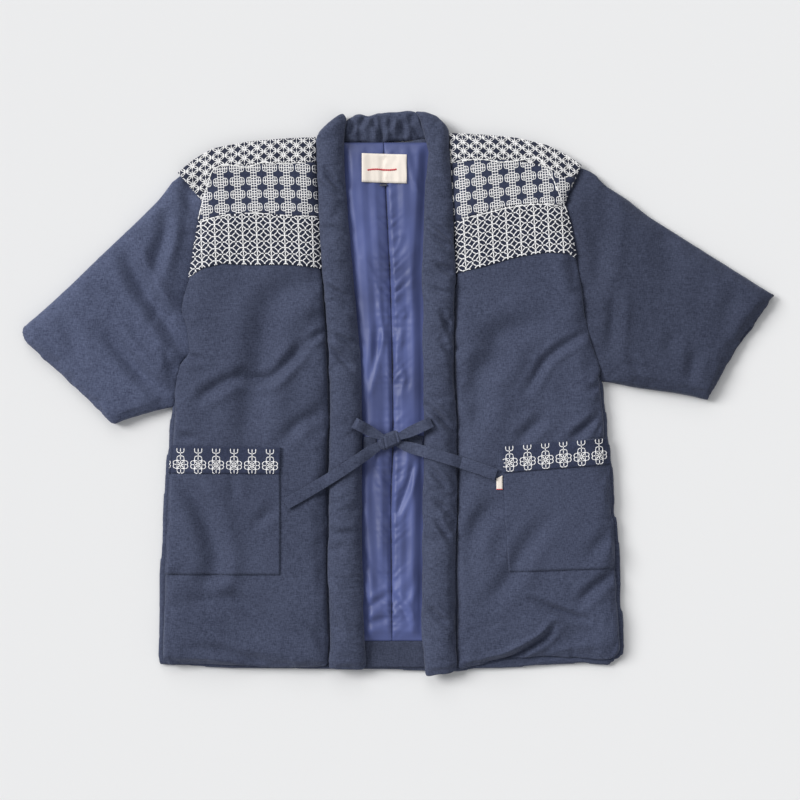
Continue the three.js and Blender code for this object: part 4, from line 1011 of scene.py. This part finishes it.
SHORTEST = 0.6  # a shorter stitch is left out
GRAIN_HEIGHT = 0.27  # half height of a stitch, as a share of its width
GRAIN_END = 0.18  # how far a stitch runs past its ends, as a share of its width


def sew(bm, stitch, a, b, height, width, lift):
    """One stitch from a to b on a surface: a flattened grain with its foot in the cloth."""
    ends = on_cloth(a, b, height)
    if not ends:
        return
    start, end = ends
    run = end - start
    length = run.length
    if length < SHORTEST:
        return
    ahead = run / length
    side = Vector((0, 0, 1)).cross(ahead).normalized()
    up = ahead.cross(side)
    turn = Matrix((side, up, ahead)).transposed().to_4x4()
    size = Matrix.Diagonal((width / 2, width * GRAIN_HEIGHT, length / 2 + width * GRAIN_END, 1))
    place = Matrix.Translation((start + end) / 2 + up * lift)
    shape = Matrix.Scale(MM, 4) @ place @ turn @ size
    stitch.transform(shape)
    bm.from_mesh(stitch)
    stitch.transform(shape.inverted())


def sewn(name, stitches, height, width, slot, thread, lift=0.25):
    """A piece of thread: stitches, each a pair of ends, on a surface."""
    bm = bmesh.new()
    stitch = grain()
    for a, b in stitches:
        sew(bm, stitch, a, b, height, width, lift)
    bpy.data.meshes.remove(stitch)
    return dress(new_piece(name, bm), slot, thread)


def thread_width(share):
    """Width of a pattern's thread in millimetres."""
    return bpy.context.scene.jacket_sizes.thread / MM * share


def embroider(name, chart, middle, slope, lean, bow, height):
    """The thread of one strip: the chart's repeats wherever the strip lies under them."""
    repeat, (across, down) = chart()
    low, high = (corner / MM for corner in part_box(name))
    span = high.x - low.x

    def cells(start, stop, step):
        return range(math.floor(start / step) - 1, math.ceil(stop / step) + 2)

    def place(u, v):
        x = middle[0] + u - lean * v
        share = (x - low.x) / span * 2 - 1
        return x, middle[1] + v + slope * u - bow * share * share

    stitches = []
    for i in cells(low.x - middle[0], high.x - middle[0], across):
        for j in cells(low.y - middle[1], high.y - middle[1], down):
            for ends in repeat:
                stitches.append([place(i * across + u, j * down + v) for u, v in ends])
    width = thread_width(THREAD_SHARES[chart])
    return sewn(f"{name}_thread", stitches, height, width, STRIP, "White cotton thread")


# Red lines woven into the neck label, slightly waved, and round the pocket tag's free edges.
LABEL_LINE = [(-42 + 40 * k / 16, 308.5 + 0.8 * math.sin(k / 2.6) + 0.07 * k) for k in range(17)]
TAG_EDGE = [(135.2, -131.4), (138, -131.5), (141, -131.5), (144, -131.4), (144.9, -130), (145, -125),
            (145.1, -118)]
LABEL_LINE_WIDTH, TAG_EDGE_WIDTH = 3.0, 1.5


def red_line(name, label, points, width):
    """A red line woven into a label."""
    return sewn(name, chain(*points), height_of(label), width, TAPE, "Red label thread", 0.1)


def edge_threads(side, top):
    """The runs of thread that close the yoke strips' edges."""
    stitches = [ends for run in EDGE_RUNS[side] for ends in chain(*drawn(run, 1))]
    name = f"yoke_edges_{side}_thread"
    return sewn(name, stitches, top, thread_width(EDGE_SHARE), STRIP, "White cotton thread", 0.5)


class JACKET_OT_strips(bpy.types.Operator):
    """Yoke strips, pockets and pocket bands, laid on the fronts and stitched in old patterns"""

    bl_idname = "jacket.strips"
    bl_label = "Strips and pockets"

    def execute(self, context):
        for side in ("right", "left"):
            panel = f"front_{side}_padded"
            front = height_of(bpy.data.objects[panel])
            pocket, area = laid_sheet(f"pocket_{side}", front, POCKET_WALL, CLOTH, "Navy chambray")
            sewn_in = []
            if side == "left":
                tag = tape("pocket_tag", front)[0]
                sewn_in = [tag, red_line("pocket_tag_edge", tag, TAG_EDGE, TAG_EDGE_WIDTH)]
            declare_sheet(f"pocket_{side}", area)
            made = {}
            for kind in ("yoke_top", "yoke_middle", "yoke_bottom", "pocket_band"):
                name = f"{kind}_{side}"
                under = height_of(pocket) if kind == "pocket_band" else front
                # The top and bottom strips' ground is darkened: painted shade between their close stitches.
                dense = ", dense" if kind in ("yoke_top", "yoke_bottom") else ""
                cloth, area = laid_sheet(name, under, STRIP_WALL, STRIP, f"Stitched strip ground{dense}")
                row = next(row for row in STRIPS if row[0] == name)
                made[kind] = (cloth, name, area, [embroider(*row, height_of(cloth))])
            yoke = [cloth for kind, (cloth, *_) in made.items() if kind.startswith("yoke")]
            made["yoke_middle"][3].append(edge_threads(side, height_of(*yoke)))
            for cloth, name, area, threads in made.values():
                declare_sheet(name, area)
        return {"FINISHED"}


# ---------------------------------------------------------------- lining, facing and labels
LINING_CREASES = [
    (CENTRE_SEAM, 3.0, 2.4, 0.3, True),
    ([(-50, 186), (-39, 178), (-31, 157), (-26, 140), (-25, 109), (-19, 81), (-25, 60), (-32, 26), (-39, -2)],
     3.2, -1.5, 0.3, True),
    ([(-27, 96), (-31, 58), (-40, 12)], 5, 2.2, 0.6),
    ([(-30, 75), (-22, 40), (-16, 10)], 6, 1.3, 0.5),
    ([(-64, 290), (-52, 258), (-38, 232)], 8, 0.8, 0.4),
    ([(-40, 216), (-30, 196), (-18, 184)], 7, -0.7, 0.4),
    ([(-9, 213), (8, 223), (-3, 195)], 3.5, -1.2, 0.4, True),
    ([(2, 181), (-1, 150), (-2, 126), (4, 100)], 6, -1.3, 0.5),
    ([(-2, 119), (14, 113), (2, 101)], 3, -1.2, 0.4, True),
    ([(4, 92), (0, 60), (-2, 44), (6, 20)], 4, -1.3, 0.5),
    ([(4, 37), (12, 25), (2, -2)], 3.5, -1.2, 0.4, True),
    ([(8, 350), (17, 312), (25, 281)], 4, -1.1, 0.5),
    ([(16, 303), (27, 282), (39, 268)], 3, -0.9, 0.4, True),
    ([(24, 170), (19, 110), (18, 40)], 6, 0.8, 0.4),
    ([(23, -92), (12, -130), (-3, -170)], 4.5, 3.4, 0.6, True),
    ([(20, -90), (14, -150), (16, -230)], 7, 1.3, 0.6),
    ([(-40, -60), (-34, -130), (-30, -200)], 8, 1.3, 0.6),
    ([(-22, -90), (-26, -170), (-22, -240)], 6, -1.2, 0.6),
    ([(-46, -298), (-13, -277)], 5, 2.5, 0.6, True),
    ([(-44, -318), (-11, -309)], 5, 1.9, 0.6),
    ([(-12, -276), (9, -300), (14, -318)], 5, 2.6, 0.6, True),
    ([(20, -260), (4, -296)], 5, 1.2, 0.6),
    ([(-46, -230), (-24, -262)], 6, 1.2, 0.6),
]
LINING_LOFT = 2.4  # how far the satin stands off the back at its centre seam
LINING_RISE = 3.2  # how much higher it stands away from that seam
LINING_CREASE_DEPTH = 1.4  # times that its creases are as deep as in their table
LINING_TOP, LINING_FOOT = 346, -340  # ends between which it stands off the back
LINING_LEAST = 0.3  # least height over the solid
TUCKED, TUCKED_FROM, TUCKED_FADE = 6, 330, 14  # how far it runs in under the neck band, and from where


def lining_shape(spots, side):
    """Soft creases of the satin and the puckers along its sunk seam, only where the collar is clear of it."""
    inward = beside(spots, np.array(FREE[side], float))[1] * (1 if side == "right" else -1)
    off_seam = gap_to(spots, CENTRE_SEAM)
    height = LINING_LOFT + LINING_RISE * (1 - np.exp(-(off_seam / 22) ** 1.3))
    height += 0.7 * ripple(spots, 30, 38, 0.7, 400) + 0.35 * ripple(spots, 13, 30, -0.5, 401)
    for row in LINING_CREASES:
        height += LINING_CREASE_DEPTH * crease(spots, *row)
    height += puckers(spots, CENTRE_SEAM, 13, 3.0, 5, 420, 0.9) + puckers(spots, NECK_SEAM, 26, 1.6, 8, 430)
    ends = np.clip(np.minimum(LINING_TOP - spots[:, 1], spots[:, 1] - LINING_FOOT) / 12, 0, 1)
    return np.maximum(height, LINING_LEAST) * np.clip(inward / 10, 0, 1) * ends


def sheet_on_back(name, cell, kind, shape, wall, slot, cloth):
    """A sheet that lies on the back, raised by a shape."""
    piece = new_piece(f"{name}_{kind}", top_of(name, cell * MM))
    if kind == "satin":
        spots = places(piece)
        spots[:, 1] += TUCKED * np.clip((spots[:, 1] - TUCKED_FROM) / TUCKED_FADE, 0, 1)
        put(piece, spots)
    press(piece, shape)
    area = sew_up(piece, wall, slot, cloth, name)
    declare_sheet(name, area)
    return piece


class JACKET_OT_lining(bpy.types.Operator):
    """Satin lining of the back in two halves, the hem facing, the neck label and its small tab"""

    bl_idname = "jacket.lining"
    bl_label = "Lining and labels"

    def execute(self, context):
        linings = [
            sheet_on_back(f"lining_{side}", SATIN_CELL, "satin", lambda spots: lining_shape(spots, side),
                          SATIN_WALL, SATIN, "Blue lining satin")
            for side in ("right", "left")]
        # The hem facing takes the shaded copy of the chambray: painted shade where it shows under the fronts'
        # hems.
        sheet_on_back("hem_facing", FINE_CELL, "cloth", lambda spots: 0.5 * ripple(spots, 16, 30, 0.2, 77),
                      FACING_WALL, CLOTH, "Navy chambray, painted shade")
        satin_top = height_of(*linings)
        label, area = tape("neck_label", satin_top)
        others = [red_line("neck_label_line", label, LABEL_LINE, LABEL_LINE_WIDTH),
                  tape("size_tab", satin_top, "Dark woven tape")[0]]
        declare_sheet("neck_label", area)
        return {"FINISHED"}


# ---------------------------------------------------------------- tie
TIE_NEAR = 14.0  # a point is raised as far as the highest of those this near
CLEAR = {"tail": 1.2, "loop": 0.6, "root": 0.6}  # how far each kind of strip is lifted clear of the cloth


def raise_to(bm, dressed, solid, clear):
    """Lifts a strip, evenly across, by as much as the padded cloth under it stands above its solid."""
    spots = np.array([vert.co[:] for vert in bm.verts]) / MM
    rise = np.full(len(spots), -1.0)
    for number, (x, y, _) in enumerate(spots):
        high, low = dressed(x, y), solid(x, y)
        if high is not None and low is not None:
            rise[number] = max(high - low, 0) + clear
    for vert, spot in zip(bm.verts, spots):
        near = np.hypot(*(spots[:, :2] - spot[:2]).T) < TIE_NEAR
        vert.co.z += max(rise[near].max(), 0) * MM


KNOT_MIDDLE = (-11.4, -64.0)
KNOT_TURN = 0.42
KNOT_REACH = 30.0  # strips are drawn in under the knot from this far off
KNOT_DRAW, KNOT_DRAW_MOST = 1.6, 0.62  # how strongly, and the most, as shares of the way
KNOT_FOLDS = [(-7.5, 0.25, 1.3), (2.5, -0.35, 1.0), (10.0, 0.2, 1.2)]  # place along the knot, lean and depth
FOLD_WIDTH = 1.5
KNOT_FLAT, KNOT_SQUASH = 1.6, 0.25  # depth below its top that is flattened, and the share that is left
KNOT_LIFT = 2.4  # how far the knot stands up on the collar
TIE_BEVEL = 0.4  # rounding of the strips' edges


def draw_in(bm):
    """Slides a strip's inner end in under the knot."""
    middle = Vector((*KNOT_MIDDLE, 0)) * MM
    for vert in bm.verts:
        away = Vector((vert.co.x - middle.x, vert.co.y - middle.y, 0))
        share = max(0, 1 - away.length / (KNOT_REACH * MM))
        vert.co -= away * min(KNOT_DRAW * share, KNOT_DRAW_MOST)


def wrap(piece):
    """Presses the folds of the wrapped band into the knot, and flattens its top."""
    spots = places(piece)
    cos, sin = math.cos(KNOT_TURN), math.sin(KNOT_TURN)
    dx, dy = spots[:, 0] - KNOT_MIDDLE[0], spots[:, 1] - KNOT_MIDDLE[1]
    along, across = dx * cos + dy * sin, dy * cos - dx * sin
    flat = spots[:, 2].max() - KNOT_FLAT
    spots[:, 2] = np.minimum(spots[:, 2], flat + KNOT_SQUASH * (spots[:, 2] - flat))
    for place, lean, depth in KNOT_FOLDS:
        off = (along - place - lean * across) / FOLD_WIDTH
        fold = np.exp(-off ** 2) - 0.4 * np.exp(-(off - 1.8) ** 2)
        spots[:, 2] -= depth * fold * (facings(piece)[:, 2] > 0)
    put(piece, spots)


class JACKET_OT_tie(bpy.types.Operator):
    """The cloth tie: two roots, the knot, two loops and two free tails"""

    bl_idname = "jacket.tie"
    bl_label = "Tie"

    def execute(self, context):
        objects = bpy.data.objects
        panels = [f"{kind}_{side}" for kind in ("collar", "front") for side in ("right", "left")]
        dressed = height_of(*[objects[f"{panel}_padded"] for panel in panels])
        solid = height_of(*panels)
        strips = [f"tie_{kind}_{side}" for kind in ("root", "loop", "tail") for side in ("right", "left")]
        for name in ["tie_knot", *strips]:
            kind = name.split("_")[1]
            knot = kind == "knot"
            bm = solid_of(name)
            join_faces(bm)
            if knot:
                bmesh.ops.subdivide_edges(bm, edges=bm.edges, cuts=2, use_grid_fill=True)
                bmesh.ops.translate(bm, verts=bm.verts, vec=(0, 0, KNOT_LIFT * MM))
            else:
                raise_to(bm, dressed, solid, CLEAR[kind])
                if kind != "root":
                    draw_in(bm)
            piece = new_piece(f"{name}_cloth", bm)
            if not knot:
                bevel = piece.modifiers.new("Bevel", "BEVEL")
                bevel.width = TIE_BEVEL * MM
                bevel.segments = 2
                bevel.limit_method = "ANGLE"
            round_off(piece, 1 if knot else 2)
            if knot:
                wrap(piece)
            dress(piece, CLOTH, "Navy chambray", name)
        return {"FINISHED"}


# ---------------------------------------------------------------- stage
VIEW_WIDTH = 1104.0  # width of the table that the camera takes in
VIEW_MIDDLE = (2.8, -8.6)
VIEW_HEIGHT = 15.0  # height at which that width is measured
LENS, SENSOR = 120.0, 36.0
FLOOR_HALF = 14.0  # metres, so that its far edge stays out of low views
# Lights: where each shines, how strongly, and how wide it is in degrees.
LIGHTS = {
    "Key": ((0.9, -0.38, -0.75), 2.5, 28),
    "Top light": ((0.15, -0.9, -0.75), 0.75, 40),
    "Fill": ((-0.5, 0.5, -1.0), 0.28, 60),
}
SKY = (0.95, 0.97, 1, 1)
SKY_STRENGTH = 0.3


def lamp(name, toward, power, softness):
    """An even light from one side, as from a large far window; softness is its width in degrees."""
    data = bpy.data.lights.new(name, "SUN")
    data.energy = power
    data.angle = math.radians(softness)
    made = bpy.data.objects.new(name, data)
    bpy.context.scene.collection.objects.link(made)
    made.rotation_euler = Vector(toward).to_track_quat("-Z", "Y").to_euler()


class JACKET_OT_stage(bpy.types.Operator):
    """Pale floor, soft studio light and the camera over the middle of the jacket"""

    bl_idname = "jacket.stage"
    bl_label = "Stage"

    def execute(self, context):
        scene = context.scene
        bm = bmesh.new()
        bmesh.ops.create_grid(bm, x_segments=1, y_segments=1, size=FLOOR_HALF)
        floor = new_piece("floor", bm)
        floor.data.materials.append(bpy.data.materials["Pale floor paper"])
        world = scene.world or bpy.data.worlds.new("World")
        scene.world = world
        world.use_nodes = True
        sky = world.node_tree.nodes["Background"]
        sky.inputs["Color"].default_value = SKY
        sky.inputs["Strength"].default_value = SKY_STRENGTH
        for name, row in LIGHTS.items():
            lamp(name, *row)
        scene.view_settings.view_transform = "Standard"
        camera = bpy.data.cameras.new("Camera")
        camera.lens = LENS
        camera.sensor_width = SENSOR
        eye = bpy.data.objects.new("Camera", camera)
        scene.collection.objects.link(eye)
        distance = VIEW_WIDTH * LENS / SENSOR
        eye.location = Vector((*VIEW_MIDDLE, distance + VIEW_HEIGHT)) * MM
        camera.clip_end = 50
        scene.camera = eye
        return {"FINISHED"}


class JACKET_OT_materials(bpy.types.Operator):
    """Every cloth, thread and paper of the scene"""

    bl_idname = "jacket.materials"
    bl_label = "Materials"

    def execute(self, context):
        colours = context.scene.jacket_colours
        cloth = (colours.cloth_light, colours.cloth_dark)
        strip = (colours.strip_light, colours.strip_dark)
        # Shares make copies of one cloth: the pale copy is painted light, the dark copy painted shade, and
        # the darker strip ground is painted shade between close stitches.
        for name, (pair, share) in {
                "Navy chambray": (cloth, 1.08), "Navy chambray, painted shade": (cloth, 0.84),
                "Navy chambray, painted light": (cloth, 1.54), "Stitched strip ground": (strip, 1),
                "Stitched strip ground, dense": (strip, 0.62)}.items():
            chambray(name, *[[value * share for value in colour] for colour in pair])
        thread_cotton("White cotton thread", tuple(colours.thread))
        thread_cotton("Red label thread", tuple(colours.label_line))
        satin("Blue lining satin", tuple(colours.lining))
        label_tape("Woven label tape", tuple(colours.label))
        label_tape("Dark woven tape", tuple(colours.tab))
        floor_paper("Pale floor paper", tuple(colours.floor))
        return {"FINISHED"}


class JACKET_PT_panel(bpy.types.Panel):
    """Lists the jacket's pieces and sizes"""

    bl_idname = "JACKET_PT_panel"
    bl_label = "Padded jacket"
    bl_space_type = "VIEW_3D"
    bl_region_type = "UI"
    bl_category = "Jacket"

    def draw(self, context):
        for step in STEPS:
            self.layout.operator(step.bl_idname)
        for group in (context.scene.jacket_sizes, context.scene.jacket_colours):
            for key in group.__annotations__:
                self.layout.prop(group, key)


STEPS = (JACKET_OT_materials, JACKET_OT_stage, JACKET_OT_padding, JACKET_OT_strips, JACKET_OT_lining,
         JACKET_OT_tie)
CLASSES = (JacketSizes, JacketColours, *STEPS, JACKET_PT_panel)


def register():
    for each in CLASSES:
        bpy.utils.register_class(each)
    bpy.types.Scene.jacket_sizes = PointerProperty(type=JacketSizes)
    bpy.types.Scene.jacket_colours = PointerProperty(type=JacketColours)


def unregister():
    del bpy.types.Scene.jacket_colours
    del bpy.types.Scene.jacket_sizes
    for each in reversed(CLASSES):
        bpy.utils.unregister_class(each)


def main():
    register()
    for step in STEPS:
        family, action = step.bl_idname.split(".")
        getattr(getattr(bpy.ops, family), action)()


if __name__ == "__main__":
    main()
